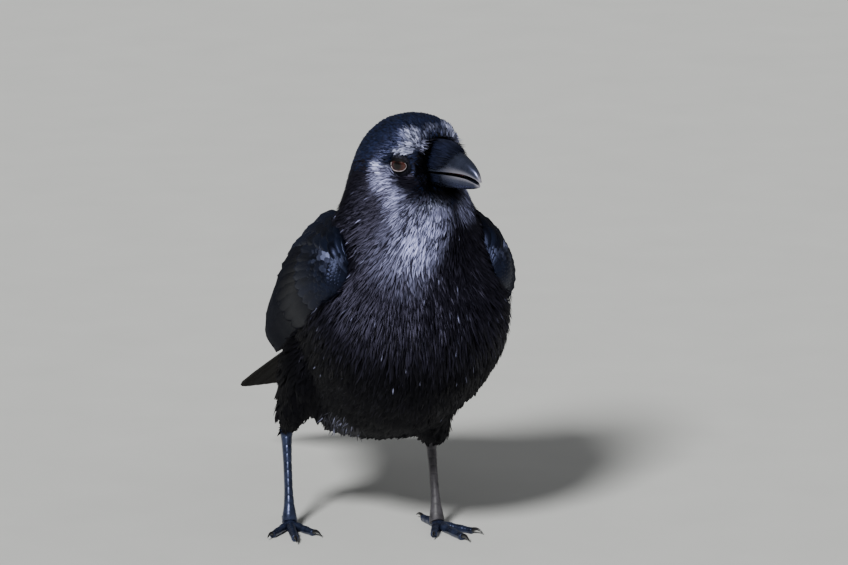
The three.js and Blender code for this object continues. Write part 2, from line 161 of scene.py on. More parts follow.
lamp("key", (-0.3, 0.8, 0.62), 12, 4.2)
lamp("fill", (1.0, 0.6, 0.7), 60, 0.25)
world = bpy.data.worlds.new("studio")
bpy.context.scene.world = world
world.use_nodes = True
sky = world.node_tree.nodes["Background"]
sky.inputs["Color"].default_value = (0.84, 0.85, 0.88, 1)
sky.inputs["Strength"].default_value = 0.17
print("camera", [round(v, 3) for v in camera.location])

# %% [markdown]
# ## Materials
# A feather is keratin filled with dark melanin. It is nearly black, and its barbs, the fine
# parallel strands of the vane, reflect a blue and violet sheen. Each material here starts from
# its real stuff, has its colours as hex values turned to linear light by one function, and
# gets its nodes from one small helper.

# %% Helpers for materials


def linear(code):
    values = [int(code[i : i + 2], 16) / 255 for i in (1, 3, 5)]
    return (*[v / 12.92 if v <= 0.04045 else ((v + 0.055) / 1.055) ** 2.4 for v in values], 1)


def add(tree, kind, inputs=(), **settings):
    """Add a node. Inputs gives its sockets a link or a value, and settings are its other values."""
    node = tree.nodes.new(kind)
    for name, value in settings.items():
        if hasattr(node, name):
            setattr(node, name, value)
        else:
            node.inputs[name.replace("_", " ")].default_value = value
    for socket, source in dict(inputs).items():
        if isinstance(source, bpy.types.NodeSocket):
            tree.links.new(source, node.inputs[socket])
        else:
            node.inputs[socket].default_value = source
    return node


def principled(name, **sockets):
    made = bpy.data.materials.new(name)
    made.use_nodes = True
    shader = made.node_tree.nodes["Principled BSDF"]
    for socket, value in sockets.items():
        shader.inputs[socket.replace("_", " ")].default_value = value
    return made, made.node_tree, shader


def ramp(tree, source, *stops):
    node = add(tree, "ShaderNodeValToRGB", {"Fac": source})
    while len(node.color_ramp.elements) < len(stops):
        node.color_ramp.elements.new(0.5)
    for element, (place, code) in zip(node.color_ramp.elements, stops):
        element.position = place
        element.color = linear(code)
    return node.outputs["Color"]


# %% [markdown]
# The feather material reads three things that each feather carries. The map named Vane holds
# millimetres across and along the feather, and draws the barbs at a slant to the shaft. Real
# barbs are 0.2 mm apart, and these are drawn 0.5 mm apart so that they can be seen. The
# attribute named tone is a number that differs from feather to feather. A third attribute says
# how much painted highlight the feather carries: a light colour mixed into its own where light
# falls on the brow, cheek and throat. At a glancing angle the barbules shade one another, so
# there the vane loses its polish.

# %% Feather material
BARB_MM, BARB_RELIEF = 0.5, 0.16
BUMP_DEPTH = 0.0002  # metres between the lowest and the highest point of any relief


def feather_material(name, dark, light, rough, tint, level, painted_highlight_colour="#bfc2ea"):
    made, tree, shader = principled(name, IOR=1.55, Specular_IOR_Level=level, Specular_Tint=linear(tint))
    vane = add(tree, "ShaderNodeUVMap", uv_map="Vane")
    parts = add(tree, "ShaderNodeSeparateXYZ", {"Vector": vane.outputs["UV"]})
    across = add(tree, "ShaderNodeMath", {0: parts.outputs["X"]}, operation="ABSOLUTE").outputs[0]
    slant = add(tree, "ShaderNodeMath", {0: across, 1: parts.outputs["Y"]}, operation="SUBTRACT").outputs[0]
    wave = add(tree, "ShaderNodeMath", {0: slant, 1: 2 * math.pi / BARB_MM}, operation="MULTIPLY").outputs[0]
    barbs = add(tree, "ShaderNodeMath", {0: wave}, operation="SINE").outputs[0]
    shaft = add(tree, "ShaderNodeMapRange", {"Value": across}, From_Max=0.5, To_Min=1.0, To_Max=0.0)
    height = add(tree, "ShaderNodeMath", {0: barbs, 1: shaft.outputs[0]}, operation="ADD").outputs[0]
    bump = add(tree, "ShaderNodeBump", {"Height": height}, Strength=BARB_RELIEF, Distance=BUMP_DEPTH)
    tree.links.new(bump.outputs["Normal"], shader.inputs["Normal"])

    tone = add(tree, "ShaderNodeAttribute", attribute_name="tone").outputs["Fac"]
    painted_highlight = add(tree, "ShaderNodeAttribute", attribute_name="painted_highlight").outputs["Fac"]
    place = add(tree, "ShaderNodeTexCoord").outputs["Object"]
    patch = add(tree, "ShaderNodeTexNoise", {"Vector": place}, Scale=90.0, Detail=3.0).outputs["Fac"]
    mixed = add(tree, "ShaderNodeMath", {0: tone, 1: patch}, operation="ADD").outputs[0]
    shade = add(tree, "ShaderNodeMath", {0: mixed, 1: 0.5}, operation="MULTIPLY").outputs[0]
    colour = ramp(tree, shade, (0.25, dark), (0.75, light))
    uneven = add(tree, "ShaderNodeMapRange", {"Value": shade}, From_Min=0.3, From_Max=0.72, To_Min=0.06)
    # The painted highlight mixes a light colour into the base colour, more on lighter feathers.
    highlight_share = add(tree, "ShaderNodeMath", {0: painted_highlight, 1: uneven.outputs[0]}, operation="MULTIPLY").outputs[0]
    glossed = add(tree, "ShaderNodeMix", {0: highlight_share, 6: colour, 7: linear(painted_highlight_colour)}, data_type="RGBA")
    tree.links.new(glossed.outputs[2], shader.inputs["Base Color"])

    polish = add(tree, "ShaderNodeMapRange", {"Value": shade}, To_Min=rough - 0.07, To_Max=rough + 0.1)
    facing = add(tree, "ShaderNodeLayerWeight", Blend=0.5).outputs["Facing"]
    glance = add(tree, "ShaderNodeMapRange", {"Value": facing}, From_Min=0.4, From_Max=0.8, To_Max=0.95)
    rougher = {0: polish.outputs[0], 1: glance.outputs[0]}
    dull = add(tree, "ShaderNodeMath", rougher, operation="MAXIMUM").outputs[0]
    tree.links.new(dull, shader.inputs["Roughness"])
    return made


# %% [markdown]
# The finishes differ as a crow's feathers do. Each call says how dark and how light a feather may
# be, how rough its surface is, what tint its gloss has and how strong the gloss is. The crown and
# the wing coverts are hard and smooth, and shine blue. The breast, belly and thighs are loose and
# soft, and drink the light.

# %% Feather finishes
# Small hard feathers set close together on the crown shine deep blue. Along the brow a silver highlight is
# painted on them.
crown_vane = feather_material("crown_feather_keratin_blue_gloss", "#060910", "#131b33", 0.36, "#b4bcff", 0.5,
                              painted_highlight_colour="#d0d5fa")
# Pointed hackles overlap loosely on the throat, and a silver highlight is painted on them in streaks, with
# black between them.
throat_vane = feather_material("throat_hackle_keratin_silver_gloss", "#040407", "#0f0e15", 0.42, "#d4d0ff",
                               0.3, painted_highlight_colour="#c6cafc")
# Breast feathers have soft edges, so only the middle of each gives a dull gleam.
breast_vane = feather_material("breast_feather_keratin_dull", "#030304", "#0b0b0f", 0.45, "#d2ceee", 0.16)
# Belly, back and thigh feathers are downy, and light sinks into them.
body_vane = feather_material("body_feather_keratin_soft", "#020203", "#08080a", 0.5, "#cfcce8", 0.08)
# Coverts are stiff and lie like slates, so each has an even navy gloss. Behind the wrist a silver highlight
# is painted on them.
covert_vane = feather_material("wing_covert_keratin_navy_gloss", "#030408", "#0a0f1c", 0.34, "#b4c0ff", 0.26,
                               painted_highlight_colour="#9aa2cf")
# Flight feathers are zipped into one smooth blade that gleams in long streaks.
flight_vane = feather_material("flight_feather_keratin_smooth", "#020203", "#050609", 0.32, "#b9c4ff", 0.14)
# Worn tail feathers fade to brown and lose their gloss first.
tail_vane = feather_material("tail_feather_keratin_brownish", "#050403", "#100e0a", 0.55, "#d6cfd6", 0.12)
# The barbs of flank plumes hang apart and range from black to grey, and a few carry a painted glint.
plume_vane = feather_material("flank_plume_keratin_loose", "#030304", "#2a2a33", 0.42, "#d9d6f0", 0.3)
# Lid feathers are tiny and matt, like velvet.
lid_vane = feather_material("eyelid_feather_keratin_matt", "#030304", "#101117", 0.5, "#c8c8ea", 0.2)
# Bristles are bare shafts, so they are the hardest and glossiest of all.
bristle_vane = feather_material("bristle_keratin_stiff", "#040509", "#1b2036", 0.36, "#c3c8f4", 0.5)

# %% [markdown]
# Skin, horn, scutes, claws and lids are mottled: a broad pattern changes the colour, and a fine
# one changes the polish and the relief. The grain is how many of its cells fit in a metre, so 500
# is a grain of 2 mm. Where a second colour lies over the first, an attribute says how far.

# %% Other finishes


def mottled(name, colours, rough, grain, relief, **sockets):
    made, tree, shader = principled(name, **sockets)
    place = add(tree, "ShaderNodeTexCoord").outputs["Object"]
    patch = add(tree, "ShaderNodeTexNoise", {"Vector": place}, Scale=grain * 0.25, Detail=4.0)
    fine = add(tree, "ShaderNodeTexNoise", {"Vector": place}, Scale=grain, Detail=5.0).outputs["Fac"]
    tree.links.new(ramp(tree, patch.outputs["Fac"], *colours), shader.inputs["Base Color"])
    polish = add(tree, "ShaderNodeMapRange", {"Value": fine}, To_Min=rough[0], To_Max=rough[1])
    tree.links.new(polish.outputs[0], shader.inputs["Roughness"])
    bump = add(tree, "ShaderNodeBump", {"Height": fine}, Strength=relief, Distance=BUMP_DEPTH)
    tree.links.new(bump.outputs["Normal"], shader.inputs["Normal"])
    return made


def overlay(made, attribute, code):
    """Mix a colour over a material's own, as far as the named attribute says."""
    tree, shader = made.node_tree, made.node_tree.nodes["Principled BSDF"]
    share = add(tree, "ShaderNodeAttribute", attribute_name=attribute).outputs["Fac"]
    under = shader.inputs["Base Color"].links[0].from_socket
    mixed = add(tree, "ShaderNodeMix", {0: share, 6: under, 7: linear(code)}, data_type="RGBA")
    tree.links.new(mixed.outputs[2], shader.inputs["Base Color"])


# Bare skin under the coat: dark, dry and finely pimpled where feathers grow.
skin_finish = mottled("feathered_skin_dark", [(0.3, "#040406"), (0.7, "#0a0a0d")], (0.55, 0.8),
                      900, 0.4, IOR=1.45, Specular_IOR_Level=0.15)
# Where the feathers carry a painted highlight, a lighter colour is painted on the skin too.
overlay(skin_finish, "painted_highlight", "#2e3044")
# The bill's horn sheath grows forwards in thin layers and is worn smooth. A highlight is painted on its tip
# and cutting edges.
horn_finish = mottled("bill_horn_worn_smooth", [(0.3, "#0d0f16"), (0.7, "#262a36")], (0.2, 0.34),
                      420, 0.2, IOR=1.55, Specular_IOR_Level=0.9, Specular_Tint=linear("#c4ccff"))
overlay(horn_finish, "painted_glint", "#8f8c92")
# Leg scutes are hard keratin shields, glossy where the ground has polished them.
scute_finish = mottled("leg_scute_keratin", [(0.3, "#0b0e17"), (0.7, "#262d42")], (0.22, 0.42),
                       700, 0.35, IOR=1.55, Specular_IOR_Level=0.65, Specular_Tint=linear("#b8c6ff"))
# Dried mud has dulled and greyed the left shank.
dusty_finish = mottled("leg_scute_keratin_dusty", [(0.3, "#1c1b1f"), (0.7, "#57545a")], (0.4, 0.65),
                       500, 0.4, IOR=1.5)
# Claws are the same horn as the bill, polished by the ground.
claw_finish = mottled("claw_horn_polished", [(0.3, "#08080a"), (0.7, "#1c1b1e")], (0.2, 0.4),
                      500, 0.2, IOR=1.55)
# The mouth is wet flesh, so light enters it and its surface shines.
mouth_finish = mottled("mouth_flesh_wet", [(0.3, "#5a3338"), (0.7, "#9c6d74")], (0.2, 0.45),
                       500, 0.3, IOR=1.4, Subsurface_Weight=0.2, Subsurface_Scale=0.002)
# The margin of the lids is bare, finely wrinkled skin, and a highlight is painted on it as a lighter colour.
lid_margin_highlight = mottled("eyelid_margin_skin_painted_highlight", [(0.3, "#625b61"), (0.7, "#9c9496")], (0.45, 0.65),
                     1500, 0.4, IOR=1.42)
# The floor is painted board, too rough to mirror the crow.
floor_finish = mottled("studio_floor_matt_paint", [(0.2, "#d9dad6"), (0.8, "#dfe0dc")], (0.75, 0.85),
                       60, 0.1)
print("materials:", len(bpy.data.materials))

# %% The floor
FLOOR_SIZE = 60
only(camera)
bpy.ops.mesh.primitive_plane_add(size=FLOOR_SIZE, location=(0, 0, 0))
floor = bpy.context.active_object
floor.name = "floor"
floor.data.materials.append(floor_finish)

# %% [markdown]
# ## Skin
# Under its coat a bird is one skin from forehead to vent, and no seam shows. The solids of the
# head, neck, trunk and thighs are copied and fused with the voxel Remesh modifier, which also
# rounds their facets. The Displace modifier then sinks the fused skin by the depth of the coat,
# so that the coat's tips come out where the solids' surface was.

# %% Edits, copies, modifiers and measures


def edited(made, operator, indices=None, **settings):
    """Run an operator in Edit Mode, on all of an object or on the faces with these indices."""
    only(made)
    bpy.ops.object.mode_set(mode="EDIT")
    if indices is None:
        bpy.ops.mesh.select_all(action="SELECT")
    else:
        bpy.ops.mesh.select_mode(type="FACE")
        bpy.ops.mesh.select_all(action="DESELECT")
        bpy.ops.object.mode_set(mode="OBJECT")
        for index in indices:
            made.data.polygons[index].select = True
        bpy.ops.object.mode_set(mode="EDIT")
    operator(**settings)
    bpy.ops.object.mode_set(mode="OBJECT")


def copied(name, *nodes):
    only(*[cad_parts[n] for n in nodes])
    bpy.ops.object.duplicate()
    bpy.ops.object.join()
    made = bpy.context.active_object
    made.name = made.data.name = name
    made.parent = None
    for key in list(made.keys()):
        del made[key]
    edited(made, bpy.ops.mesh.remove_doubles, threshold=1e-5)
    made.data.materials.clear()
    return made


def modified(made, kind, **settings):
    only(made)
    modifier = made.modifiers.new(kind.title(), kind)
    for name, value in settings.items():
        setattr(modifier, name, value)
    bpy.ops.object.modifier_apply(modifier=modifier.name)


def numbers(rows, key, width, kind=np.float32):
    """One property of every row of a mesh, as an array that is width wide."""
    flat = np.zeros(len(rows) * width, kind)
    rows.foreach_get(key, flat)
    return flat.reshape(-1, width)


def points_of(made):
    return numbers(made.data.vertices, "co", 3).astype(float)


def mark(mesh, title, values):
    """Give every point of a mesh its own value of a named attribute."""
    layer = mesh.attributes.new(title, "FLOAT", "POINT")
    layer.data.foreach_set("value", values.astype(np.float32))


# %% Fuse the skin
DEPTH_BODY, DEPTH_HEAD, DEPTH_THIGH = 5.0, 1.7, 2.7
NECK_LEAN = 0.344


def height_on_neck(front, up):
    """A height that follows the lean of the neck, so that it tells the head from neck and body."""
    return up + NECK_LEAN * (front - HEAD_FRONT)


def on_thigh(left, front, up):
    """How far a point belongs to a thigh: 1 on it and 0 on the belly."""
    far = smooth(4 - 3 * np.hypot(left + 57, front) / 22) * smooth((96 - up) / 16)
    near = smooth(4 - 3 * np.hypot(left - 35, front - 12) / 19) * smooth((74 - up) / 10)
    return np.maximum(far, near)


def coat_depth(metres):
    left, front, up = straight(metres)
    depth = DEPTH_BODY + (DEPTH_HEAD - DEPTH_BODY) * smooth((height_on_neck(front, up) - 200) / 55)
    return depth + (DEPTH_THIGH - depth) * on_thigh(left, front, up)


skin = copied("skin", "trunk", "neck", "head", "thigh_left", "thigh_right")
modified(skin, "REMESH", mode="VOXEL", voxel_size=0.0019)
modified(skin, "SMOOTH", factor=0.6, iterations=7)
depth = coat_depth(points_of(skin))
group = skin.vertex_groups.new(name="depth")
for i, share in enumerate(depth / DEPTH_BODY):
    group.add([i], float(share), "REPLACE")
modified(skin, "DISPLACE", strength=-DEPTH_BODY * MM, mid_level=0.0, vertex_group="depth")
modified(skin, "REMESH", mode="VOXEL", voxel_size=0.0021)
modified(skin, "SMOOTH", factor=0.6, iterations=6)
skin.data.materials.clear()
skin.data.materials.append(skin_finish)
print("skin faces:", len(skin.data.polygons))

# %% [markdown]
# The skin is unwrapped once. Every feather later takes its place on this map, so that a colour
# baked on the map falls on the right feather. The search tree answers the question that every
# feather asks: where is the nearest point of the skin, and which way does it face there?

# %% Unwrap the skin and make it searchable
edited(skin, bpy.ops.uv.smart_project, angle_limit=math.radians(70), island_margin=0.004)
skin.data.uv_layers[0].name = "OFBake"
bpy.ops.object.shade_smooth()
skin.data.calc_loop_triangles()
skin_points = points_of(skin)
skin_normals = numbers(skin.data.vertices, "normal", 3).astype(float)
skin_uv = numbers(skin.data.uv_layers["OFBake"].data, "uv", 2).astype(float)
corners = numbers(skin.data.loop_triangles, "vertices", 3, np.int32)
loops = numbers(skin.data.loop_triangles, "loops", 3, np.int32)
skin_tree = BVHTree.FromPolygons(skin_points.tolist(), corners.tolist())
corner_points = skin_points[corners]
two_sides = corner_points[:, 1:] - corner_points[:, :1]
face_area = np.linalg.norm(np.cross(two_sides[:, 0], two_sides[:, 1]), axis=1) / 2
print("skin area in square metres:", round(face_area.sum(), 4))


def shares_in(points, face):
    """How much each corner of its face counts at a point."""
    a, b, c = (skin_points[corners[face][:, k]] for k in range(3))
    whole = np.cross(b - a, c - a)
    size = np.maximum((whole**2).sum(1), 1e-20)
    u = (np.cross(b - points, c - points) * whole).sum(1) / size
    v = (np.cross(c - points, a - points) * whole).sum(1) / size
    return np.clip(np.stack([u, v, 1 - u - v], 1), 0, 1)


def read_skin(face, share):
    """The way the skin faces and its place on the map, where each corner counts by its share."""
    normal = unit((skin_normals[corners[face]] * share[..., None]).sum(1))
    return normal, (skin_uv[loops[face]] * share[..., None]).sum(1)


def nearest(points):
    """The nearest place on the skin, the way it faces and its place on the map."""
    found = [skin_tree.find_nearest(p) for p in points]
    spots = np.array([f[0] for f in found], float).reshape(-1, 3)
    face = np.array([f[2] for f in found], int)
    return spots, *read_skin(face, shares_in(spots, face))


# %% [markdown]
# ## How the feathers lie
# Feathers grow in one flow: back from the bill over the head, down the neck and breast, back
# under the belly and over the back to the tail, and down each thigh. The flow is given by a few
# places with a direction each, and those on the left have a mirror image on the right. Anywhere
# else it is their average, with near ones counting most, laid flat on the skin.

# %% The flow of the coat
FLOW = [  # left, front, up, then the direction as left, front, up
    (0, 65, 293, 0, -1, 0), (0, 88, 286, 0, -0.8, 0.45), (0, 40, 284, 0, -0.9, -0.4),
    (0, 27, 268, 0, -0.35, -0.95), (0, 24, 248, 0, -0.1, -1), (12, 84, 286, 0.2, -0.9, 0.3),
    (26, 55, 264, 0, -1, -0.12), (25, 78, 264, 0.1, -1, -0.15), (22, 84, 252, 0.15, -0.9, -0.45),
    (32, 40, 255, 0, -0.75, -0.65), (24, 72, 244, 0.1, -0.6, -0.8), (0, 97, 243, 0, -0.15, -1),
    (0, 104, 222, 0, 0.2, -1), (36, 75, 225, 0.25, -0.2, -1), (36, 45, 235, 0.2, -0.25, -1),
    (0, 117, 182, 0, 0.1, -1), (48, 84, 190, 0.3, -0.3, -1), (50, 50, 205, 0.3, -0.5, -0.9),
    (0, 24, 226, 0, -0.6, -1), (30, 6, 206, 0.1, -1, -0.6), (0, -10, 200, 0, -1, -0.6),
    (0, 118, 142, 0, -0.15, -1), (45, 100, 145, 0, -0.5, -1), (0, 92, 96, 0, -0.8, -0.75),
    (45, 70, 105, 0, -0.9, -0.6), (0, 30, 66, 0, -1, -0.12), (0, -30, 61, 0, -1, 0.05),
    (62, 40, 140, 0, -0.6, -0.85), (60, 0, 120, 0, -0.85, -0.55), (50, -40, 105, 0, -1, -0.3),
    (40, -10, 75, 0, -1, -0.1), (0, -75, 68, 0, -1, 0.2), (0, -112, 80, 0, -1, 0.05),
    (0, -55, 165, 0, -1, -0.65), (0, -90, 135, 0, -1, -0.65), (40, -60, 140, 0, -1, -0.5),
]
THIGH_FLOW = [  # the thighs stand at different places, so each has its own rows
    (-58, 14, 100, 0, -0.35, -1), (-57, 0, 80, 0, -0.2, -1),
    (30, 38, 92, 0, -0.4, -1), (34, 20, 75, 0, -0.3, -1),
]
FLOW_REACH = 60  # square mm within which a place doesn't count any more for being nearer
flow_rows = np.array(FLOW, float)
mirrored = flow_rows[flow_rows[:, 0] > 0] * np.array([-1, 1, 1, -1, 1, 1])
flow_rows = np.vstack([flow_rows, THIGH_FLOW, mirrored])
flow_from = turned(at(*flow_rows[:, :3].T))
flow_to = turned(at(*(flow_rows[:, :3] + flow_rows[:, 3:]).T)) - flow_from


def flow(metres, normal):
    """The way that feathers lie at points on the skin."""
    points = np.asarray(metres) / MM - SHIFT
    total = np.zeros_like(points)
    for spot, way in zip(flow_from, flow_to):
        near = 1 / (((points - spot) ** 2).sum(1) + FLOW_REACH) ** 2
        total += near[:, None] * way
    total -= (total * normal).sum(1, keepdims=True) * normal
    return unit(total)


# %% [markdown]
# ## The painted silver highlight
# Where light falls on the hard, close, flat feathers of the brow, of the band from the eye over
# the ear to the cheek, and of the throat, a silver highlight is painted into their colour. A few
# rounded places give it. It is strongest in the middle of each and fades outwards, and every
# feather takes the painted highlight of its root.

# %% Where the painted highlight lies
# Each row is a place on a straight head or throat, how far its painted highlight reaches across,
# ahead and up in mm, and how strong it is. The face has it on both sides, and the throat has it
# mostly on the bird's right, which is the side turned to the light.
FACE_PAINTED_HIGHLIGHT = [
    (20.5, 81, 271, 5, 4.5, 3.2, 0.9), (19, 86, 274, 5, 5, 3.8, 1.0), (15, 90, 277, 5, 5, 4, 1.0),
    (9, 94, 281, 6, 5, 3.2, 0.9), (0, 91, 285, 9, 6, 3.6, 0.45), (14, 84, 281, 6, 6, 4, 0.6),
    (28, 69.5, 258.5, 7, 5, 6.5, 1.0), (27, 75, 251, 8, 7, 6, 1.0), (25, 83, 243.5, 8, 8, 6, 0.9),
    (22, 90, 234, 10, 12, 8, 0.6),
]
THROAT_PAINTED_HIGHLIGHT = [(-8, 110, 220, 18, 60, 21, 1.0), (-15, 105, 216, 19, 55, 26, 0.35)]


def painted_highlight_at(left, front, up):
    total = np.zeros(len(left))
    for rows, aside in ((FACE_PAINTED_HIGHLIGHT, np.abs(left)), (THROAT_PAINTED_HIGHLIGHT, left)):
        for side, ahead, above, wide, deep, tall, strength in rows:
            away = ((aside - side) / wide) ** 2 + ((front - ahead) / deep) ** 2 + ((up - above) / tall) ** 2
            total = np.maximum(total, strength * smooth(1.3 - 0.95 * np.sqrt(away)))
    return total


# The skin carries the same painted highlight, so that it doesn't show as a dark gap between the feathers.
skin_painted_highlight = painted_highlight_at(*straight(skin_points))
mark(skin.data, "painted_highlight", skin_painted_highlight)
print("share of the skin in bloom:", round(float((skin_painted_highlight > 0.5).mean()), 3))

# %% [markdown]
# ## One feather, many times
# A body feather is a thin curved vane. It is a little sheet with a few rows, wide in the middle,
# with its root in the skin and its tip on the surface of the coat. Thousands are worked out at
# once as arrays, because an operator for each would take hours. Each one follows the flow in
# two steps over the skin, so it bends round the body, and its tip covers the roots behind it.

# %% Sheets of feathers as one mesh
# Each outline says how far along the feather a row lies, and how wide the feather is there.
ROUND = [(0.0, 0.25), (0.3, 0.85), (0.65, 1.0), (0.88, 0.72), (1.0, 0.2)]
LANCE = [(0.0, 0.3), (0.35, 1.0), (0.75, 0.62), (1.0, 0.06)]
HAIR = [(0.0, 0.6), (0.45, 1.0), (1.0, 0.1)]
SOFT = [(0.0, 0.3), (0.35, 0.95), (0.7, 0.85), (0.9, 0.45), (1.0, 0.08)]


def mesh_of(name, points, faces, vane, tone, bake=None, painted_highlight=None):
    """A mesh of four-sided faces, with the maps and attributes that the feather material reads."""
    mesh = bpy.data.meshes.new(name)
    mesh.vertices.add(len(points))
    mesh.vertices.foreach_set("co", points.astype(np.float32).ravel())
    mesh.loops.add(faces.size)
    mesh.loops.foreach_set("vertex_index", faces.astype(np.int32).ravel())
    mesh.polygons.add(len(faces))
    mesh.polygons.foreach_set("loop_start", np.arange(0, faces.size, 4, dtype=np.int32))
    mesh.update(calc_edges=True)
    for title, uv in (("OFBake", bake), ("Vane", vane)):
        if uv is not None:
            layer = mesh.uv_layers.new(name=title)
            layer.data.foreach_set("uv", uv[faces].astype(np.float32).ravel())
    mark(mesh, "tone", tone)
    mark(mesh, "painted_highlight", tone * 0 if painted_highlight is None else painted_highlight)
    mesh.polygons.foreach_set("use_smooth", np.ones(len(faces), bool))
    made = bpy.data.objects.new(name, mesh)
    bpy.context.scene.collection.objects.link(made)
    return made


def grid_faces(count, rows, columns):
    """The faces of a number of like sheets, whose points are numbered sheet by sheet and row by row."""
    one = [
        (i * columns + j, i * columns + j + 1, (i + 1) * columns + j + 1, (i + 1) * columns + j)
        for i in range(rows - 1)
        for j in range(columns - 1)
    ]
    return (np.array(one)[None] + (np.arange(count) * rows * columns)[:, None, None]).reshape(-1, 4)


# %% Sow the roots


def sown(spacing, wanted, seed):
    """Roots about one spacing (in mm) apart on the part of the skin where wanted says yes."""
    rng = np.random.default_rng(seed)
    count = int(face_area.sum() / (spacing * MM) ** 2 * 7)
    face = np.searchsorted(np.cumsum(face_area), rng.random(count) * face_area.sum())
    face = np.minimum(face, len(corners) - 1)
    a, b = rng.random((2, count))
    a, b = np.where(a + b > 1, 1 - a, a), np.where(a + b > 1, 1 - b, b)
    share = np.stack([1 - a - b, a, b], 1)
    spots = (skin_points[corners[face]] * share[..., None]).sum(1)
    cell = np.floor(spots / (spacing * MM * 1.06)).astype(int)
    first = np.unique(cell, axis=0, return_index=True)[1]
    first = first[wanted(*straight(spots[first]))]
    return spots[first], *read_skin(face[first], share[first])


# %% Grow feathers on the roots
CAMBER, PATCH = 0.12, 0.003  # how hollow a vane is, and how wide its patch is on the skin's map


def spine_of(spots, normal, length, turn, way, hug):
    """Three places along each feather, and the way the skin faces at each."""
    spine, normals = [spots], [normal]
    for _ in range(2):
        heading = way(spine[-1], normals[-1])
        aside = np.cross(normals[-1], heading)
        heading = heading * np.cos(turn) + aside * np.sin(turn)
        spot, facing = spine[-1] + heading * length[:, None] / 2, normals[-1]
        if hug:
            spot, facing = nearest(spot)[:2]
        spine.append(spot)
        normals.append(facing)
    return spine, normals


def coat(name, finish, roots, length, width, outline, lift,
         stray=6, split=0.0, speck=0.0, seed=1, way=flow, hug=True):
    """One mesh of feathers on roots. Length, width and lift are in mm, for each root or for all.

    Stray is how many degrees a feather may turn from the flow, split lets the sides of its tip
    run out unevenly, and speck is the share of feathers that get a painted glint.
    """
    spots, normal, uv = roots
    count = len(spots)
    rng = np.random.default_rng(seed)
    size = rng.normal(1, 0.12, count).clip(0.7, 1.4)
    length, width, lift = (np.broadcast_to(v, count) * size * MM for v in (length, width, lift))
    turn = np.radians(rng.normal(0, stray, count))[:, None]
    spine, normals = spine_of(spots, normal, length, turn, way, hug)
    v = np.array([row[0] for row in outline])[None, :, None]
    half = np.array([row[1] for row in outline])[None, :, None] / 2
    p0, p1, p2 = (s[:, None] for s in spine)
    line = p0 * (1 - v) * (1 - 2 * v) + p1 * 4 * v * (1 - v) + p2 * v * (2 * v - 1)
    out = unit(normals[0][:, None] * (1 - v) + normals[2][:, None] * v)
    lengthwise = unit((p1 - p0) * (3 - 4 * v) + (p2 - p1) * (4 * v - 1))
    side = unit(np.cross(out, lengthwise))
    raised = lift[:, None, None] * (1.15 * v - 0.15 * v**3 + 0.03)
    roll = rng.normal(0, 0.12, count)[:, None, None]
    across = np.linspace(-1, 1, 3)
    strips = []
    for j, e in enumerate(across):
        ragged = split * (j % 2 - 0.5) * rng.uniform(0.4, 1.2, count)[:, None, None]
        reach = np.where(v > 0.8, ragged, 0) * length[:, None, None]
        droop = -CAMBER * e * e + roll * e
        strips.append(line + lengthwise * reach + side * (e * half * width[:, None, None])
                      + out * (raised + droop * half * 2 * width[:, None, None]))
    points = np.stack(strips, 2)
    grid = points.shape[:3]
    across_mm = across[None, None, :] * half * width[:, None, None] / MM
    vane = np.stack(np.broadcast_arrays(across_mm, v * length[:, None, None] / MM), -1)
    offset = np.stack([across * 0.5, across * 0], -1)[None, None] + np.stack([v * 0, v - 0.5], -1)
    bake = np.broadcast_to(np.clip(uv[:, None, None] + offset * PATCH, 0, 1), (*grid, 2))
    tone = np.repeat(rng.random(count), grid[1] * grid[2])
    # A feather takes the painted highlight of its root, and a random few get a painted glint as well.
    painted_highlight = np.maximum(painted_highlight_at(*straight(spots)), 0.45 * (rng.random(count) < speck))
    painted_highlight = np.repeat(painted_highlight, grid[1] * grid[2])
    made = mesh_of(name, points.reshape(-1, 3), grid_faces(*grid), vane.reshape(-1, 2), tone,
                   bake.reshape(-1, 2), painted_highlight)
    made.data.materials.append(finish)
    print(name, count, "feathers,", len(made.data.polygons) * 2, "triangles")
    return made


# %% [markdown]
# ## The folded wing's surface
# The wing is described as a surface. One share runs from the wrist to the tip, and the other
# from the lower edge to the upper edge. Every wing feather is laid on that surface, and no body
# feather grows beneath it.

# %% The wing surface
# Each row is left, front and up in mm, from the wrist to the wing's tip.
WING_LOWER = [
    (50, 90, 184), (62, 76, 173), (67.5, 46, 154), (66, 0, 131), (56, -62, 114), (37, -118, 102),
    (17, -170, 82),
]
WING_FULL = [
    (49, 91, 192), (59, 74, 198), (67.5, 35, 187.5), (64.5, -14, 165), (51, -74, 134),
    (34, -126, 108), (15, -174, 85),
]
WING_UPPER = [
    (44, 84, 203), (44, 60, 219), (36, 22, 220), (25, -30, 193), (14, -86, 151), (11, -132, 117),
    (7, -178, 89),
]


def wing_middle(s, t):
    """Points on the wing, where s runs from wrist to tip and t from the lower to the upper edge."""
    low, full, high = (along(rows, s) for rows in (WING_LOWER, WING_FULL, WING_UPPER))
    t = np.asarray(t, float)[..., None]
    pull = 2 * full - (low + high) / 2
    crow = low * (1 - t) ** 2 + pull * 2 * t * (1 - t) + high * t**2
    return at(crow[..., 0], crow[..., 1], crow[..., 2])


def wing_frame(s, t):
    """Outwards, along the wing and across it, at points on the wing."""
    s, t = np.broadcast_arrays(np.asarray(s, float), np.asarray(t, float))
    lengthwise = wing_middle(np.minimum(s + 0.01, 1), t) - wing_middle(np.maximum(s - 0.01, 0), t)
    crosswise = wing_middle(s, np.minimum(t + 0.02, 1)) - wing_middle(s, np.maximum(t - 0.02, 0))
    out = unit(np.cross(crosswise, lengthwise))
    out = np.where(out[..., :1] < 0, -out, out)
    return out, unit(lengthwise), crosswise / 0.04


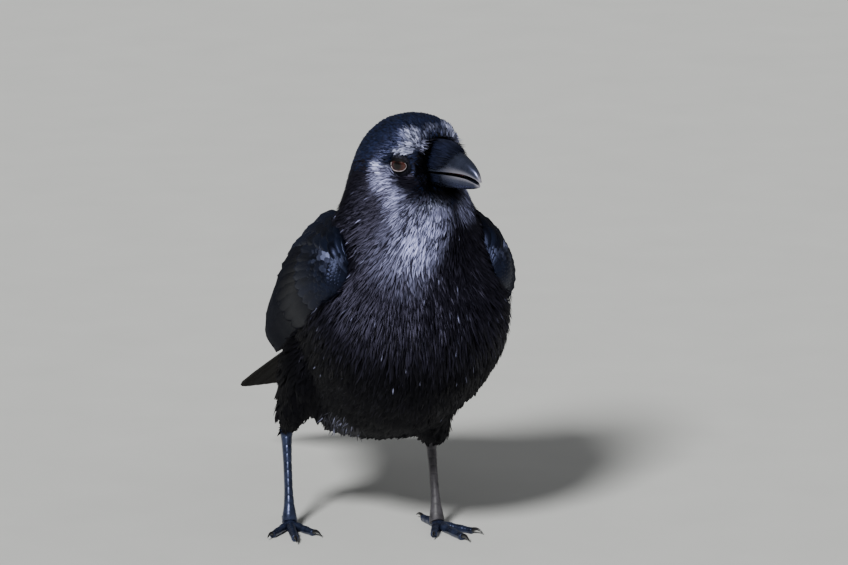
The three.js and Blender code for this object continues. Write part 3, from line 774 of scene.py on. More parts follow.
def wing_bulge(s, t):
    """How far the folded feathers stand off the surface in mm: most behind the wrist."""
    t = np.clip(t, 0, 1)
    v = np.clip(s / (0.8 * (0.86 + 0.14 * np.sin(np.pi * (0.15 + 0.7 * t)))), 0, 1)
    return 0.9 + 5.6 * smooth(v / 0.16) * (1 - v) ** 0.6 * (1 - np.abs(2 * t - 1) ** 3)


wing_s, wing_t = (g.ravel() for g in np.meshgrid(np.linspace(0, 1, 50), np.linspace(0, 1, 18), indexing="ij"))
wing_samples = wing_middle(wing_s, wing_t)
AT_ONCE = 4000  # how many points are looked at in one go, to save memory
WING_COVER = 22  # how near the wing's surface covered skin is, in mm
MIDLINE = 14  # skin this near the midplane, in mm, is never covered


def under_wing(left, front, up):
    points = at(np.abs(left), front, up)
    covered = []
    for part in np.array_split(points, len(points) // AT_ONCE + 1):
        gap = part[:, None] - wing_samples[None]
        near = (gap**2).sum(2).argmin(1)
        off = np.linalg.norm(gap[np.arange(len(part)), near], axis=1)
        inside = (wing_s[near] > 0.05) & (wing_t[near] > 0.1) & (wing_t[near] < 0.92)
        covered.append(inside & (off < WING_COVER))
    return np.concatenate(covered) & (np.abs(left) > MIDLINE)


# %% [markdown]
# ## The coat
# The coat changes over the body. The head has the smallest feathers, the cheek and ear have
# fine hair-like ones, the throat and neck have narrow pointed hackles, and the breast, back and
# belly have broad soft ones. Loose plumes hang from the right flank over the leg. Each region is
# a mesh of its own, and at its border the two kinds mix. A straight crow decides which kind grows
# where, so the turn of the head moves no border.

# %% Where the feathers of head and neck grow


HEAD_LOW, CHEEK_LOW, NECK_LOW, NECK_HIGH = 243, 232, 196, 251  # by height_on_neck, in mm


def clear_face(left, front, up):
    """Nothing grows on the oval opening of the eye or on the bill."""
    eye_gap = np.hypot((front - HEAD_FRONT - 21) / 7.3, (up - HEAD_UP - 0.2) / 5.2) + (np.abs(left) < 12)
    bill = (front > 92.5) & (np.abs(left) < 9.8) & (up > 248.5) & (up < 277.5)
    return (eye_gap > 1) & ~bill


def scatter(left, front, up):
    """A number from -0.5 to 0.5 that differs at each root, so that two kinds of feather mix."""
    return np.modf(np.abs(np.sin(left * 12.99 + front * 78.23 + up * 37.72) * 4375.85))[0] - 0.5


def head_zone(left, front, up):
    strayed = scatter(left, front, up)
    ear = (up + 14 * strayed < 262) & (np.abs(left) > 12) & (front < 88) & (front + 14 * strayed > 44)
    return (height_on_neck(front, up) + 20 * strayed > HEAD_LOW) & clear_face(left, front, up) & ~ear


def cheek_zone(left, front, up):
    below = (up - 14 * scatter(left, front, up) < 264) & (np.abs(left) > 8) & (front < 93)
    return (height_on_neck(front, up) > CHEEK_LOW) & below & (front > 30) & clear_face(left, front, up)


def neck_zone(left, front, up):
    q = height_on_neck(front, up)
    return (q > NECK_LOW) & (q < NECK_HIGH) & clear_face(left, front, up)


def lore_zone(left, front, up):
    ring = np.hypot(left / 11, (up - 263.5) / 15)
    return (front > 84.5) & (ring < 1.5) & (front + 6 * ring > 91) & (up < 279)


# %% Where the feathers of the body grow
BIB_LOW, BREAST_LOW, BODY_HIGH, BELLY_HIGH = 172, 128, 206, 160  # by height_on_neck, in mm


def below_neck(left, front, up):
    return (height_on_neck(front, up) < BODY_HIGH) & (front > 40) & ~under_wing(left, front, up)


def stray_height(left, front, up):
    return height_on_neck(front, up) + 44 * scatter(left, front, up)


def bib_zone(left, front, up):
    return (stray_height(left, front, up) > BIB_LOW) & below_neck(left, front, up)


def breast_zone(left, front, up):
    q = stray_height(left, front, up)
    return (q > BREAST_LOW) & (q <= BIB_LOW) & below_neck(left, front, up)


def body_zone(left, front, up):
    low = (front > 40) & (height_on_neck(front, up) < BELLY_HIGH)
    behind = (front <= 44) & (height_on_neck(front, up) < BODY_HIGH)
    return (low | behind) & ~under_wing(left, front, up) & ~leg_zone(left, front, up)


def leg_zone(left, front, up):
    return on_thigh(left, front, up) > 0.5


def plume_zone(left, front, up):
    return (np.hypot(left + 36, (front - 38) * 0.8) < 14) & (up < 98)


# %% Ways that feathers point
FORWARD = unit(on_head(0, 30, 0) - on_head(0, 0, 0))


def eased(front, up, low, high):
    """0 at the lower of two heights on the neck and 1 at the higher."""
    return smooth((height_on_neck(front, up) - low) / (high - low))


def from_bill_axis(metres):
    away = np.asarray(metres) / MM - SHIFT - on_head(0, 0, 2)
    return unit(away - (away @ FORWARD)[:, None] * FORWARD)


def over_the_bill(metres, normal):
    return unit(FORWARD + 0.12 * from_bill_axis(metres) - 0.12 * np.array([0, 0, 1.0]))


# %% Grow the coat of the head and neck
coats = []
roots = sown(1.15, head_zone, 11)
left, front, up = straight(roots[0])
small = smooth((front - 70) / 22)
ridge = painted_highlight_at(left, front, up) * (up > 266)
near_eye = smooth(1.6 - np.hypot((front - HEAD_FRONT - 21) / 9, (up - HEAD_UP) / 8)) * (np.abs(left) > 12)
lift = 1.9 - 0.7 * small + 1.5 * ridge + 1.2 * near_eye
length, width = 5.4 - 2.0 * small, 1.3 - 0.3 * small
coats.append(coat("coat_head", crown_vane, roots, length, width, ROUND[1:], lift, stray=5, seed=21))
roots = sown(1.05, cheek_zone, 12)
coats.append(coat("coat_cheek", throat_vane, roots, 6.5, 0.75, HAIR, 2.0, stray=9, seed=22))
# The lores are the hairy strip between the eye and the bill, and they point forwards.
spots, normal, uv = sown(1.0, lore_zone, 17)
lores = (spots, from_bill_axis(spots), uv)
coats.append(coat("coat_lores", body_vane, lores, 8.0, 0.7, HAIR, 1.6, stray=9, seed=27,
                  way=over_the_bill, hug=False))
roots = sown(1.4, neck_zone, 13)
left, front, up = straight(roots[0])
grown = 1 - eased(front, up, 200, 250)
length, width, lift = 7.5 + 4 * grown, 1.0 + 0.35 * grown, 2.2 + 2.2 * grown
coats.append(coat("coat_neck", throat_vane, roots, length, width, LANCE, lift, stray=8, speck=0.01, seed=23))

# %% Grow the coat of the body
for name, vane, spacing, zone in (
    ("coat_bib", throat_vane, 1.6, bib_zone), ("coat_breast", breast_vane, 1.9, breast_zone)
):
    roots = sown(spacing, zone, 14)
    left, front, up = straight(roots[0])
    grown = 1 - eased(front, up, 130, 205)
    length, width = 11 + 3 * grown, 1.1 + 0.7 * grown
    coats.append(coat(name, vane, roots, length, width, LANCE, 4.8, stray=7, speck=0.015, seed=24))
roots = sown(2.7, body_zone, 15)
coats.append(coat("coat_body", body_vane, roots, 17, 3.6, SOFT, 5.2, stray=9, seed=25))
# A thigh's feathers get shorter towards the bare shank, and none grow on its underside.
roots = sown(1.7, leg_zone, 16)
above = roots[1][:, 2] > -0.72
roots = [values[above] for values in roots]
above_ankle = straight(roots[0])[2] - 58
length, lift = 6 + 0.09 * above_ankle.clip(0, 60), 1.4 + 0.02 * above_ankle.clip(0, 30)
coats.append(coat("coat_thighs", body_vane, roots, length, 1.7, LANCE, lift, stray=3, seed=26))
roots = sown(2.2, plume_zone, 18)
coats.append(coat("coat_flank_plumes", plume_vane, roots, 20, 0.9, LANCE, 6.8, stray=12, speck=0.16, seed=28))

# %% [markdown]
# ## Wing feathers
# A folded wing is a stack of long feathers that lie on each other like roof tiles: primaries to
# the tip, secondaries over them, then greater, median and lesser coverts up to the wrist, with
# the scapulars over the joint to the back. Each is a vane on the wing's surface from its root
# to its tip, and the Solidify modifier gives the vanes their thickness.

# %% Lay feathers on the wing
# Each outline says how far along the feather a row lies, and how wide the feather is there.
LONG = [
    (0.0, 0.55), (0.2, 0.85), (0.45, 0.95), (0.7, 1.0), (0.88, 0.92), (0.95, 0.7), (0.985, 0.42), (1.0, 0.1),
]
TILE = [
    (0.0, 0.5), (0.3, 0.9), (0.6, 1.0), (0.78, 0.95), (0.89, 0.78), (0.96, 0.5), (0.99, 0.27), (1.0, 0.06),
]


def wing_painted_highlight(s, t):
    """The painted highlight of the wing bend lies on the coverts just behind the wrist, above the middle."""
    return np.exp(-(((s - 0.1) / 0.05) ** 2) - ((t - 0.68) / 0.17) ** 2)


def laid(name, finish, side, rows, outline, thick, crease=0.35, columns=7, gloss=0.0, seed=1):
    """Feathers laid on the wing, as one mesh with a thickness.

    A row is s and t at the root, s and t at the tip, the width in mm, and how high the root and
    the tip stand over the wing in mm.
    """
    rng = np.random.default_rng(seed)
    rows = np.asarray(rows, float)
    v = np.array([row[0] for row in outline])
    half = np.array([row[1] for row in outline])
    across = np.linspace(-1, 1, columns)
    points, vanes, tones, painted_highlights = [], [], [], []
    for s0, t0, s1, t1, width, low, high in rows:
        s, t = s0 + (s1 - s0) * v, t0 + (t1 - t0) * smooth(v * 0.8 + 0.1)
        _, lengthwise, crosswise = wing_frame(s, t)
        step = np.maximum(np.linalg.norm(crosswise, axis=1), 12)
        shift = across[None] * (half * width / 2 / step)[:, None]
        s_all = np.broadcast_to(s[:, None], shift.shape)
        t_all = t[:, None] + shift
        beyond = np.maximum(s_all - 1, 0)
        edge = np.clip(t_all, 0.0, 1.0)
        centre = wing_middle(s_all, edge) + crosswise[:, None] * (t_all - edge)[..., None]
        centre = centre + lengthwise[:, None] * beyond[..., None] * 320
        out_all = wing_frame(s_all, edge)[0]
        height = wing_bulge(s_all, t_all) * 0.85 + (low + (high - low) * v)[:, None]
        shaft = crease * np.exp(-((across / 0.12) ** 2))[None] - 0.5 * across[None] ** 2
        ragged = rng.normal(0, 0.12, shift.shape) * (half[:, None] * 0.5)
        raised = out_all * (height + shaft)[..., None]
        points.append(centre + raised + lengthwise[:, None] * ragged[..., None])
        reach = np.linalg.norm(wing_middle(s1, t1) - wing_middle(s0, t0))
        across_mm = across[None] * half[:, None] * width / 2
        vanes.append(np.stack(np.broadcast_arrays(across_mm, v[:, None] * reach), -1))
        tones.append(np.full(shift.size, rng.random()))
        painted_highlights.append(np.full(shift.size, gloss * wing_painted_highlight((s0 + s1) / 2, (t0 + t1) / 2)))
    faces = grid_faces(len(rows), len(v), columns)
    if side == "left":
        faces = faces[:, ::-1]
    made = mesh_of(f"{name}_{side}", placed(np.array(points).reshape(-1, 3), side), faces,
                   np.array(vanes).reshape(-1, 2), np.concatenate(tones), None, np.concatenate(painted_highlights))
    made.data.materials.append(finish)
    modified(made, "SOLIDIFY", thickness=thick * MM, offset=-1.0)
    return made


# %% Rows of the folded wing
# Primaries, secondaries and greater coverts are counted from the wing's lower edge up, and each
# stands a little higher than the one before, so that it lies on it.
PRIMARY = [
    (0.5, 0.16 + 0.07 * i, 1.0 - 0.031 * i, 0.1 + 0.12 * i, 15, -2.6 + 0.25 * i, -2.2 + 0.35 * i)
    for i in range(8)
]
SECONDARY = [
    (0.2 + 0.008 * i, 0.08 + 0.085 * i, 0.745 + 0.006 * i - 0.004 * i * i / 4, 0.07 + 0.095 * i,
     18, -1.2 + 0.12 * i, -0.2 + 0.42 * i)
    for i in range(9)
]
GREATER = [
    (0.08, 0.04 + 0.085 * i, 0.36 + 0.05 * math.sin(math.pi * (i + 1) / 12), 0.02 + 0.09 * i,
     13.5, 0.2, 2.0 + 0.08 * i)
    for i in range(11)
]
MEDIAN = [
    (0.03, 0.06 + 0.075 * i, 0.23 + 0.05 * math.sin(math.pi * i / 11), 0.03 + 0.083 * i, 11, 0.6, 2.9)
    for i in range(12)
]
SCAPULAR = [
    (s - 0.03, t, s + 0.12 - 0.015 * k, t - 0.03, 15 - 0.3 * row, 0.6, 3.6 + 0.5 * k)
    for row, s in enumerate(np.linspace(0.5, 0.02, 12))
    for k, t in enumerate((0.74, 0.85, 0.95))
]


def lesser_rows():
    """Nine rows of small coverts in a staggered, slightly uneven pattern up to the wrist."""
    rng = np.random.default_rng(35)
    rows = []
    for row, s in enumerate(np.linspace(0.14, -0.02, 9)):
        for t in np.linspace(0.02 + 0.025 * (row % 2), 0.98, 16):
            root = t + rng.normal(0, 0.006)
            tip = s + 0.075 + rng.normal(0, 0.003)
            rows.append((s - 0.01, root, tip, t, 8 - 0.3 * row, 0.3, 2.5))
    return rows


# %% The two wings
for side in ("left", "right"):
    group = [
        laid("primaries_vanes", flight_vane, side, PRIMARY, LONG, 0.4, seed=31),
        laid("secondaries", flight_vane, side, SECONDARY, LONG, 0.4, seed=32),
        laid("greater_coverts", flight_vane, side, GREATER, TILE, 0.35, seed=33),
        laid("median_coverts", covert_vane, side, MEDIAN, TILE, 0.3, seed=34),
        # The lesser coverts carry a painted highlight behind the wrist.
        laid("lesser_coverts", covert_vane, side, lesser_rows(), TILE, 0.25, crease=0.12, columns=5,
             gloss=0.6, seed=36),
        laid("scapulars", covert_vane, side, SCAPULAR, TILE, 0.3, crease=0.15, columns=5, seed=37),
    ]
    for piece in group:
        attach(piece, "root")
    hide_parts(f"primaries_{side}")
    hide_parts(f"wing_{side}")
    print(side, "wing pieces:", len(group))

# %% [markdown]
# ## Tail feathers
# Twelve long feathers fan out a little from the rump, the middle pair on top. They are made as
# the long wing feathers are, straight along the tail instead of on a surface.

# %% The tail
TAIL_SLOPE, TAIL_LENGTH, TAIL_SPREAD = math.radians(26.5), 138, math.radians(5)
TAIL_WIDTH, TAIL_ROOT_FRONT, TAIL_ROOT_UP, TAIL_PAIRS = 10.5, -88, 118, 6


def tail_feather(sign, k, across, v, half):
    """One tail feather: pair 0 is the middle one, on top, and pair 5 the outermost and lowest."""
    share = k / (TAIL_PAIRS - 1)
    angle = TAIL_SPREAD * share
    reach = (TAIL_LENGTH - 3 * share**2) * v[:, None]
    wide = half[:, None] * TAIL_WIDTH * (0.55 + 0.45 * v[:, None]) * across[None]
    aside = reach * math.sin(angle) + wide + 1.2 + 20 * share
    curl = 0.9 * across[None] ** 2 * half[:, None]
    shaft = 0.5 * np.exp(-((across[None] / 0.12) ** 2))
    down = 2.5 * v[:, None] + 0.7 * k + curl - shaft
    back = reach * math.cos(angle)
    front = TAIL_ROOT_FRONT - back * math.cos(TAIL_SLOPE) - down * math.sin(TAIL_SLOPE)
    up = TAIL_ROOT_UP - back * math.sin(TAIL_SLOPE) - down * math.cos(TAIL_SLOPE)
    return at(sign * aside, front, up)


v = np.array([row[0] for row in LONG])
half = np.array([row[1] for row in LONG])
across = np.linspace(-1, 1, 9)
vane = np.stack(np.broadcast_arrays(across[None] * half[:, None] * TAIL_WIDTH, v[:, None] * TAIL_LENGTH), -1)
rng = np.random.default_rng(41)
points = np.array([tail_feather(s, k, across[::s], v, half) for s in (-1, 1) for k in range(TAIL_PAIRS)])
tone = np.repeat(rng.random(2 * TAIL_PAIRS), vane.shape[0] * vane.shape[1])
faces = grid_faces(2 * TAIL_PAIRS, len(v), len(across))
tail = mesh_of("tail_feathers", placed(points.reshape(-1, 3)), faces,
               np.tile(vane.reshape(-1, 2), (2 * TAIL_PAIRS, 1)), tone)
tail.data.materials.append(tail_vane)
modified(tail, "SOLIDIFY", thickness=0.4 * MM, offset=-1.0)
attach(tail, "root")
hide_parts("tail")
print("tail feathers:", 2 * TAIL_PAIRS)

# %% [markdown]
# ## Bill
# The horn sheath of each half of the bill has a section that changes all the way: an arch over
# a shallow hollow, high and rounded at the root, then narrow and hooked at the tip. Extruding a
# circle can't keep its sharp cutting edges, so the rings are worked out and bridged as arrays.

# %% The shape of the bill
# Each row is, in mm on the head: how far ahead, the top, the bottom and half the width.
UPPER = [
    (20, 15, -3.8, 10.8), (34, 16.2, -2.8, 10.2), (46, 15, -1.8, 8.8), (57, 11.4, -1.1, 6.9),
    (67, 6.8, -1.3, 4.7), (74, 1.6, -3.2, 2.5), (77.5, -3.6, -5.8, 0.8),
]
LOWER = [
    (20, -5, -14.2, 9), (34, -4.4, -13.9, 8.4), (46, -3.9, -13.3, 7), (57, -3.7, -12.5, 5.4),
    (66, -4.2, -11.4, 3.8), (72, -5.8, -10.2, 2.3), (76, -7.4, -8.9, 0.8),
]


def bill_point(rows, share, angle, grow=0.0):
    """A point on the arch of a mandible: angle 0 and pi are its cutting edges, half way is its ridge."""
    upwards = 1 if rows is UPPER else -1
    ahead, top, bottom, half = np.moveaxis(along(rows, share), -1, 0)
    rim, ridge = (bottom, top) if rows is UPPER else (top, bottom)
    over = np.sin(angle)
    hollow = np.minimum(1.4, np.abs(ridge - rim) * 0.3) * upwards * over**2
    height = np.where(over >= 0, (ridge - rim) * np.abs(over) ** 0.85, hollow)
    out = np.where(over >= 0, grow, 0)
    return on_head((half + out) * np.cos(angle), ahead, rim + height + out * over * upwards)


def closed(name, rings, finish):
    """A closed body from rings of points in mm, each with as many points as the next."""
    count, sides = rings.shape[:2]
    mesh = bpy.data.meshes.new(name)
    faces = [
        (i * sides + j, i * sides + k, (i + 1) * sides + k, (i + 1) * sides + j)
        for i in range(count - 1)
        for j, k in zip(range(sides), [*range(1, sides), 0])
    ]
    faces += [tuple(range(sides))[::-1], tuple(range((count - 1) * sides, count * sides))]
    mesh.from_pydata(placed(rings.reshape(-1, 3)).tolist(), [], faces)
    made = bpy.data.objects.new(name, mesh)
    bpy.context.scene.collection.objects.link(made)
    made.data.materials.append(finish)
    edited(made, bpy.ops.mesh.normals_make_consistent, inside=False)
    return made


# %% The bill
# An attribute says how strong the highlight painted on the horn is: most at the tip, and less along the
# cutting edges.
round_arch = np.linspace(0, 2 * np.pi, 56, endpoint=False)
share, angle = np.meshgrid(np.linspace(0, 1, 46), round_arch, indexing="ij")
edge = np.exp(-((np.sin(angle) / 0.13) ** 2)) * smooth((share - 0.3) / 0.3)
painted_glint = 0.75 * smooth((share - 0.84) / 0.16) + 0.6 * edge
for name, rows in (("upper_bill_horn", UPPER), ("lower_bill_horn", LOWER)):
    made = closed(name, bill_point(rows, share, angle), horn_finish)
    mark(made.data, "painted_glint", painted_glint.ravel().clip(0, 1))
    only(made)
    bpy.ops.object.shade_smooth_by_angle(angle=math.radians(50))
    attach(made, "root")
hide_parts("bill_upper")
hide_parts("bill_lower")
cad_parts["tongue"].data.materials.clear()
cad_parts["tongue"].data.materials.append(mouth_finish)
print("bill length in mm:", round(float(np.linalg.norm(on_head(0, 77.5, -4) - on_head(0, 36, 10))), 1))

# %% [markdown]
# Stiff bristles grow forwards from the forehead and hide the nostrils and almost half of the
# bill's ridge. Others stand at the corner of the mouth. They are narrow vanes laid along the
# horn, each lifted a little more towards its tip.

# %% Bristles on the bill


def bristles(name, finish, start, angles, lengths, width, lift, rows=UPPER, seed=1):
    """Narrow vanes along the horn, each at its own angle of bill_point.

    Start is in mm ahead of the head's middle, and lengths, width and lift are in mm too.
    """
    rng = np.random.default_rng(seed)
    count = len(start)
    v = np.array([0.0, 0.35, 0.7, 1.0])[None]
    half = np.array([0.6, 1.0, 0.75, 0.12])[None] * width[:, None] / 2
    reach = start[:, None] + lengths[:, None] * v
    turn = angles[:, None] + rng.normal(0, 0.07, count)[:, None] * v
    share = np.interp(reach, [row[0] for row in rows], np.linspace(0, 1, len(rows)))
    grow = 0.25 + lift[:, None] * (0.4 + v)
    centre = bill_point(rows, share, turn, grow)
    side = unit(bill_point(rows, share, turn + 0.03, grow) - centre) * half[..., None]
    shaft = centre + unit(centre - on_head(0, reach, 0)) * half[..., None] * 0.5
    points = np.stack([centre - side, shaft, centre + side], 2)
    across = np.array([-1, 0, 1])
    vane = np.stack(np.broadcast_arrays(across * half[..., None], (v * lengths[:, None])[..., None]), -1)
    tone = np.repeat(rng.random(count), 12)
    root = nearest(placed(centre[:, 0]))[2]
    offset = np.stack(np.broadcast_arrays(across / 2, v[..., None] - 0.5), -1)
    bake = np.clip(root[:, None, None] + offset * PATCH, 0, 1).reshape(-1, 2)
    faces = grid_faces(count, 4, 3)
    made = mesh_of(name, placed(points.reshape(-1, 3)), faces, vane.reshape(-1, 2), tone, bake)
    made.data.materials.append(finish)
    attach(made, "root")
    print(name, count, "bristles")


# Nasal bristles cover the arch of the upper bill, and those on its ridge are the longest.
rng = np.random.default_rng(51)
count = 1700
angles = np.pi * (0.5 + 0.46 * (2 * rng.random(count) - 1))
start = 31 + 5 * rng.random(count)
lengths = (12 + 10 * rng.random(count)) * (0.75 + 0.35 * np.sin(angles))
width = rng.uniform(0.45, 0.85, count)
lift = rng.uniform(0.1, 1.5, count)
bristles("nasal_bristles", bristle_vane, start, angles, lengths, width, lift, seed=52)

# Rictal bristles stand at both corners of the mouth, by the edges of the lower bill.
count = 160
on_left = rng.random(count) < 0.5
angles = np.where(on_left, rng.uniform(0.05, 0.5, count), np.pi - rng.uniform(0.05, 0.5, count))
start = 31 + 5 * rng.random(count)
lengths = rng.uniform(7, 13, count)
width = rng.uniform(0.4, 0.6, count)
lift = rng.uniform(0.1, 0.8, count)
bristles("rictal_bristles", bristle_vane, start, angles, lengths, width, lift, rows=LOWER, seed=53)

# %% [markdown]
# ## Eyes
# A crow's eye is a dark brown ball with a black pupil, under a clear wet cornea. It is a sphere
# primitive, made a little flatter along the way it looks and turned so that its pole looks out
# of the head. The cornea is a clear coat over it. The colours follow the distance from the pole,
# measured from Object coordinates. The lids are a ring of small folds of skin, with a highlight
# painted on the margin below and at both corners, and tiny hair-like feathers stand on them.

# %% The eye's material and its ball
EYE_AHEAD, EYE_ASIDE, EYE_ABOVE, EYE_RADIUS, EYE_DEPTH = 19.8, 18.9, 0.4, 7.2, 0.82
IRIS_EDGE, POLE = 0.0029, 0.0059  # metres from the ball's centre, along the way it looks


def eye_material(name, centre, axis):
    """The black pupil is at the pole, then comes the brown iris, and its rim is black again."""
    # The coat's sharp gleam reads as wet. The ball under it is duller, so that the eye has depth.
    made, tree, shader = principled(
        name, IOR=1.36, Roughness=0.2, Specular_IOR_Level=0.3,
        Coat_Weight=0.7, Coat_Roughness=0.03, Coat_IOR=1.34,
    )
    place = add(tree, "ShaderNodeTexCoord").outputs["Object"]
    off = add(tree, "ShaderNodeVectorMath", {0: place, 1: centre}, operation="SUBTRACT").outputs[0]
    aim = add(tree, "ShaderNodeVectorMath", {0: off, 1: axis}, operation="DOT_PRODUCT").outputs["Value"]
    limits = {"From_Min": IRIS_EDGE, "From_Max": POLE, "To_Min": 1.0, "To_Max": 0.0}
    share = add(tree, "ShaderNodeMapRange", {"Value": aim}, **limits).outputs[0]
    fibre = add(tree, "ShaderNodeTexNoise", {"Vector": off}, Scale=1200.0, Detail=3.0).outputs["Fac"]
    grain = add(tree, "ShaderNodeMapRange", {"Value": fibre}, To_Min=-0.05, To_Max=0.05).outputs[0]
    total = add(tree, "ShaderNodeMath", {0: share, 1: grain}, operation="ADD").outputs[0]
    pupil = ((0.0, "#050303"), (0.1, "#0a0505"))
    iris = ((0.2, "#2c1512"), (0.5, "#42221c"))
    rim = ((0.75, "#140b09"), (1.0, "#050404"))
    tree.links.new(ramp(tree, total, *pupil, *iris, *rim), shader.inputs["Base Color"])
    bump = add(tree, "ShaderNodeBump", {"Height": fibre}, Strength=0.08, Distance=0.0001)
    tree.links.new(bump.outputs["Normal"], shader.inputs["Normal"])
    return made


def eyeball(side, centre, axis):
    """A ball a little flatter along the way it looks, with its pole turned that way."""
    only(floor)
    bpy.ops.mesh.primitive_uv_sphere_add(
        segments=48, ring_count=32, radius=EYE_RADIUS * MM, location=placed(centre)
    )
    ball = bpy.context.active_object
    ball.scale = (1, 1, EYE_DEPTH)
    ball.rotation_mode = "QUATERNION"
    ball.rotation_quaternion = Vector(axis).to_track_quat("Z", "Y")
    bpy.ops.object.transform_apply(location=True, rotation=True, scale=True)
    bpy.ops.object.shade_smooth()
    ball.name = f"eyeball_{side}"
    ball.data.materials.append(eye_material(f"eye_iris_and_cornea_{side}", placed(centre), axis))
    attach(ball, "root")
    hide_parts(f"eye_{side}")


# %% The lids
# Each fold is how far it lies from the opening to the outer edge, and its height in mm.
LID_FOLDS = (
    (0, -0.2), (0.01, 0.25), (0.05, 0.5), (0.08, 0.35), (0.14, 0.65), (0.2, 0.4), (0.28, 0.55),
    (0.38, 0.25), (0.6, 0.2), (1, 0.1),
)
LID_SIDES, LID_EDGE = 64, 80  # points round the eye, and degrees from its axis to the outer edge
ROUND_EYE = np.linspace(0, 2 * np.pi, LID_SIDES, endpoint=False)
# The opening is an almond, longest from corner to corner and flatter above than below.
FLATTER = np.where(np.sin(ROUND_EYE) > 0, 22, 15) * np.abs(np.sin(ROUND_EYE)) ** 1.4
ALMOND = 43 + 8 * np.abs(np.cos(ROUND_EYE)) ** 3 - FLATTER


def around_eye(eye, point, share, grow):
    """Spots about the eye: point counts round it, share goes from the opening to the outer edge."""
    centre, axis, up, ahead = eye
    angle = ROUND_EYE[point]
    tilt = np.radians(ALMOND[point] + (LID_EDGE - ALMOND[point]) * share)
    ring = np.cos(angle)[..., None] * ahead + np.sin(angle)[..., None] * up
    away = EYE_DEPTH * np.cos(tilt)[..., None] * axis + np.sin(tilt)[..., None] * ring
    return centre + (EYE_RADIUS + grow) * away


def eyelids(side, eye):
    """The folds of skin about an eye, with a highlight painted on the margin below and at both corners."""
    point = np.arange(LID_SIDES)
    rings = [around_eye(eye, point, share, grow) for share, grow in LID_FOLDS]
    lid = closed(f"eyelids_{side}", np.stack(rings), skin_finish)
    lid.data.materials.append(lid_margin_highlight)
    # Margin faces below and at both corners get the painted highlight.
    for face in lid.data.polygons:
        in_margin = len(face.vertices) == 4 and max(face.vertices) < LID_SIDES * 3
        if in_margin and np.sin(ROUND_EYE[min(face.vertices) % LID_SIDES]) < 0.3:
            face.material_index = 1
    ends = [face.index for face in lid.data.polygons if len(face.vertices) > 4]
    edited(lid, bpy.ops.mesh.delete, ends, type="ONLY_FACE")
    bpy.ops.object.shade_smooth()
    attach(lid, "root")


# %% Make both eyes
LID_FEATHERS = 700
for sign, side in ((1, "left"), (-1, "right")):
    centre = on_head(sign * EYE_ASIDE, EYE_AHEAD, EYE_ABOVE)
    axis = unit(on_head(sign * (EYE_ASIDE + 10), EYE_AHEAD + 3.6, EYE_ABOVE) - centre)
    eyeball(side, centre, axis)
    up = unit(np.array([0.0, 0.0, 1.0]) - axis[2] * axis)
    ahead = unit(on_head(sign * EYE_ASIDE, EYE_AHEAD + 5, EYE_ABOVE) - centre)
    ahead = unit(ahead - (ahead @ axis) * axis - (ahead @ up) * up)
    eye = (centre, axis, up, ahead)
    eyelids(side, eye)

    def from_eye(metres, normal):
        """Lid feathers point away from the opening and a little backwards."""
        away = metres / MM - SHIFT - centre
        away = unit(away - (away @ axis)[:, None] * axis) - 0.5 * ahead
        return unit(away - (away * normal).sum(1, keepdims=True) * normal)

    point = rng.integers(0, LID_SIDES, LID_FEATHERS)
    around = around_eye(eye, point, rng.uniform(0.2, 0.75, LID_FEATHERS), 0.2)
    spots = placed(around)
    facing = unit(unit(around - centre) + 0.4 * axis)
    roots = (spots, facing, nearest(spots)[2])
    coats.append(coat(f"coat_lid_{side}", lid_vane, roots, 2.4, 0.6, HAIR, 0.45, stray=12, seed=61,
                      way=from_eye, hug=False))

# %% [markdown]
# ## Legs and feet
# The bare leg is covered by hard shields, the scutes, which overlap down its front like tiles,
# and the toes carry a row of them on top and soft pads below. A limb swells and bends along its
# line, so its rings are worked out as arrays and bridged, as the bill's are. The faces that look
# forwards or up are then inset and raised for the scutes, and subdivision rounds all of it.

# %% A limb ring by ring


def limb(name, points, wides, talls, sides, finish, scutes=None, relief=0.3, tall_scute=1):
    """A closed limb along points (mm); wide is across, tall is along the second axis of each ring.

    Scutes is the way that they face, relief their height in mm and tall_scute how many rings each has.
    """
    points = np.asarray(points, float)
    tangent = unit(np.gradient(points, axis=0))
    steep = abs(tangent[:, 2].mean()) > 0.8
    upright = np.array([0.0, 1, 0]) if steep else np.array([0.0, 0, 1])
    aside = unit(np.cross(tangent, upright))
    over = np.cross(aside, tangent)
    angle = 2 * np.pi * (np.arange(sides) + 0.5) / sides
    rings = np.stack([
        points[i] + wides[i] * np.cos(angle)[:, None] * aside[i] + talls[i] * np.sin(angle)[:, None] * over[i]
        for i in range(len(points))
    ])
    # A smaller ring closes each end, so that the end is rounded.
    first, last = rings[:1] * 0.35 + points[0] * 0.65, rings[-1:] * 0.35 + points[-1] * 0.65
    rings = np.concatenate([first, rings, last])
    made = closed(name, rings, finish)
    if scutes is not None:
        facing = Vector(scutes)
        front = [f.index for f in made.data.polygons if len(f.vertices) == 4 and f.normal.dot(facing) > 0.1]
        # Every second scute first, then those between them, so that a groove stays at each border.
        for turn in range(2):
            chosen = [index for index in front if index // sides // tall_scute % 2 == turn]
            inset = {"thickness": 0.2 * MM, "depth": relief * MM, "use_individual": False}
            edited(made, bpy.ops.mesh.inset, chosen, **inset)
    modified(made, "SUBSURF", levels=1, render_levels=1)
    only(made)
    bpy.ops.object.shade_smooth()
    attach(made, "root")
    return made


def pressed_flat(made):
    """No toe and no claw goes below the floor."""
    flat = points_of(made)
    flat[:, 2] = np.maximum(flat[:, 2], 0)
    made.data.vertices.foreach_set("co", flat.astype(np.float32).ravel())
    made.data.update()


# %% Shanks, toes and claws
# A foot is where it stands, left and front, in mm, the side its toes spread to, and how far the
# ankle is to the left of it and above the floor.
FEET = {"right": (-59, -14, -1, 3.5, 61), "left": (35, 14, 1, 1.5, 57)}
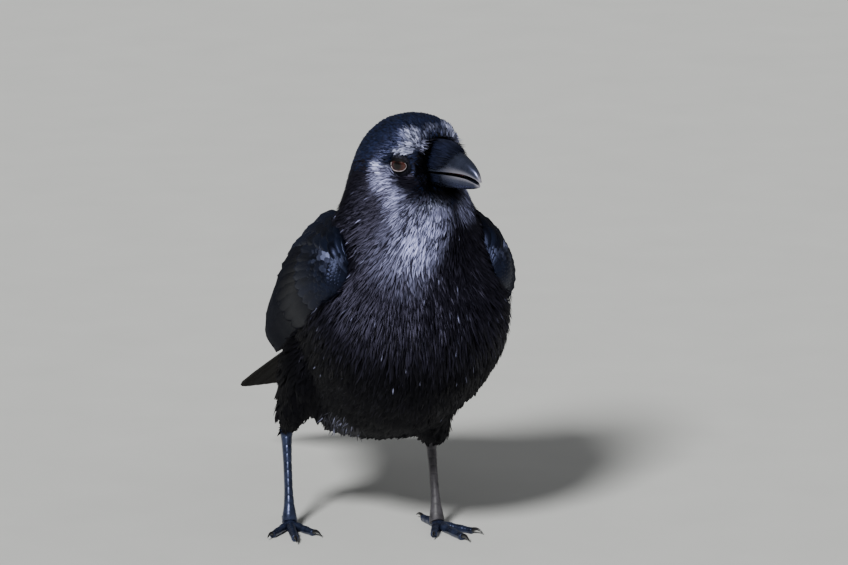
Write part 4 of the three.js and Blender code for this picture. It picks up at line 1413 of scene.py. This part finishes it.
# A toe is its heading in degrees, its length, its radius and the length of its claw in mm.
TOES = {
    "middle": (4, 37, 3.3, 11),
    "inner": (-27, 26, 3.1, 10),
    "outer": (33, 28, 3.0, 9.5),
    "hind": (182, 20, 3.2, 13),
}
# The shank is how far down it a row lies, and half its width and half its depth there in mm.
SHANK = [
    (0, 4.1, 5), (0.06, 4.6, 5.6), (0.16, 3.4, 4.5), (0.4, 2.8, 4.0), (0.7, 2.8, 3.9),
    (0.88, 3.6, 4.3), (0.97, 5, 5.2), (1.03, 5.4, 5.2),
]
leg_pieces = []
for side, (left, front, out, ankle_left, ankle_up) in FEET.items():
    top = at(left + ankle_left, front - 20, ankle_up + 5)
    foot = at(left, front, 7)
    spots = np.linspace(0, 1.03, 24)
    wide, deep = (np.interp(spots, [row[0] for row in SHANK], [row[k] for row in SHANK]) for k in (1, 2))
    points = top + (foot - top) * spots[:, None]
    points[-2:, 2] = (5.6, 4.4)
    bare = scute_finish if side == "right" else dusty_finish
    made = limb(f"shank_scutes_{side}", points, wide, deep, 12, bare, scutes=(0, -1, 0), relief=0.26,
                tall_scute=2)
    leg_pieces.append((made, f"shank_{side}"))
    for toe, (heading, length, radius, claw) in TOES.items():
        turn = math.radians(heading + 6) * out
        way = np.array([math.sin(turn), -math.cos(turn), 0])
        v = np.linspace(0, 1, 13)
        taper = radius * (1 - 0.22 * v)
        halves = taper * (1 + 0.1 * np.cos(v * np.pi * 2 * 3) * (1 - 0.4 * v))
        points = at(left, front, 0) + way * (1 + length * v)[:, None]
        points[:, 2] = taper * 0.8 + 0.5 * (1 - v)
        made = limb(f"toe_{toe}_scutes_{side}", points, halves, halves * 0.98, 10, scute_finish,
                    scutes=(0, 0, 1), relief=0.24)
        pressed_flat(made)
        leg_pieces.append((made, f"toe_{toe}_{side}"))
        # A claw starts inside the toe, arches up and comes down to its point near the floor.
        v = np.linspace(0, 1, 9)
        lift = 3.4 * np.sin(np.pi * (0.12 + 0.62 * v)) - 1 - 1.6 * v**2
        root = points[-1]
        line = root + way * (-1.6 + claw * v)[:, None]
        line[:, 2] = np.maximum(0.75, root[2] + lift)
        halves = radius * 0.52 * (1 - v) ** 0.8 + 0.28
        made = limb(f"claw_{toe}_horn_{side}", line, halves * 0.85, halves, 8, claw_finish)
        pressed_flat(made)
        leg_pieces.append((made, f"claw_{toe}_{side}"))
for made, node in leg_pieces:
    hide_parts(node)
print("leg pieces:", len(leg_pieces))

# %% [markdown]
# ## The finished crow
# The skin stands for the solids of flesh, and everything rides on the one body.

# %% Ride and finish
for piece in coats:
    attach(piece, "root")
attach(skin, "root")
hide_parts("trunk", "neck", "head", "thigh_left", "thigh_right")
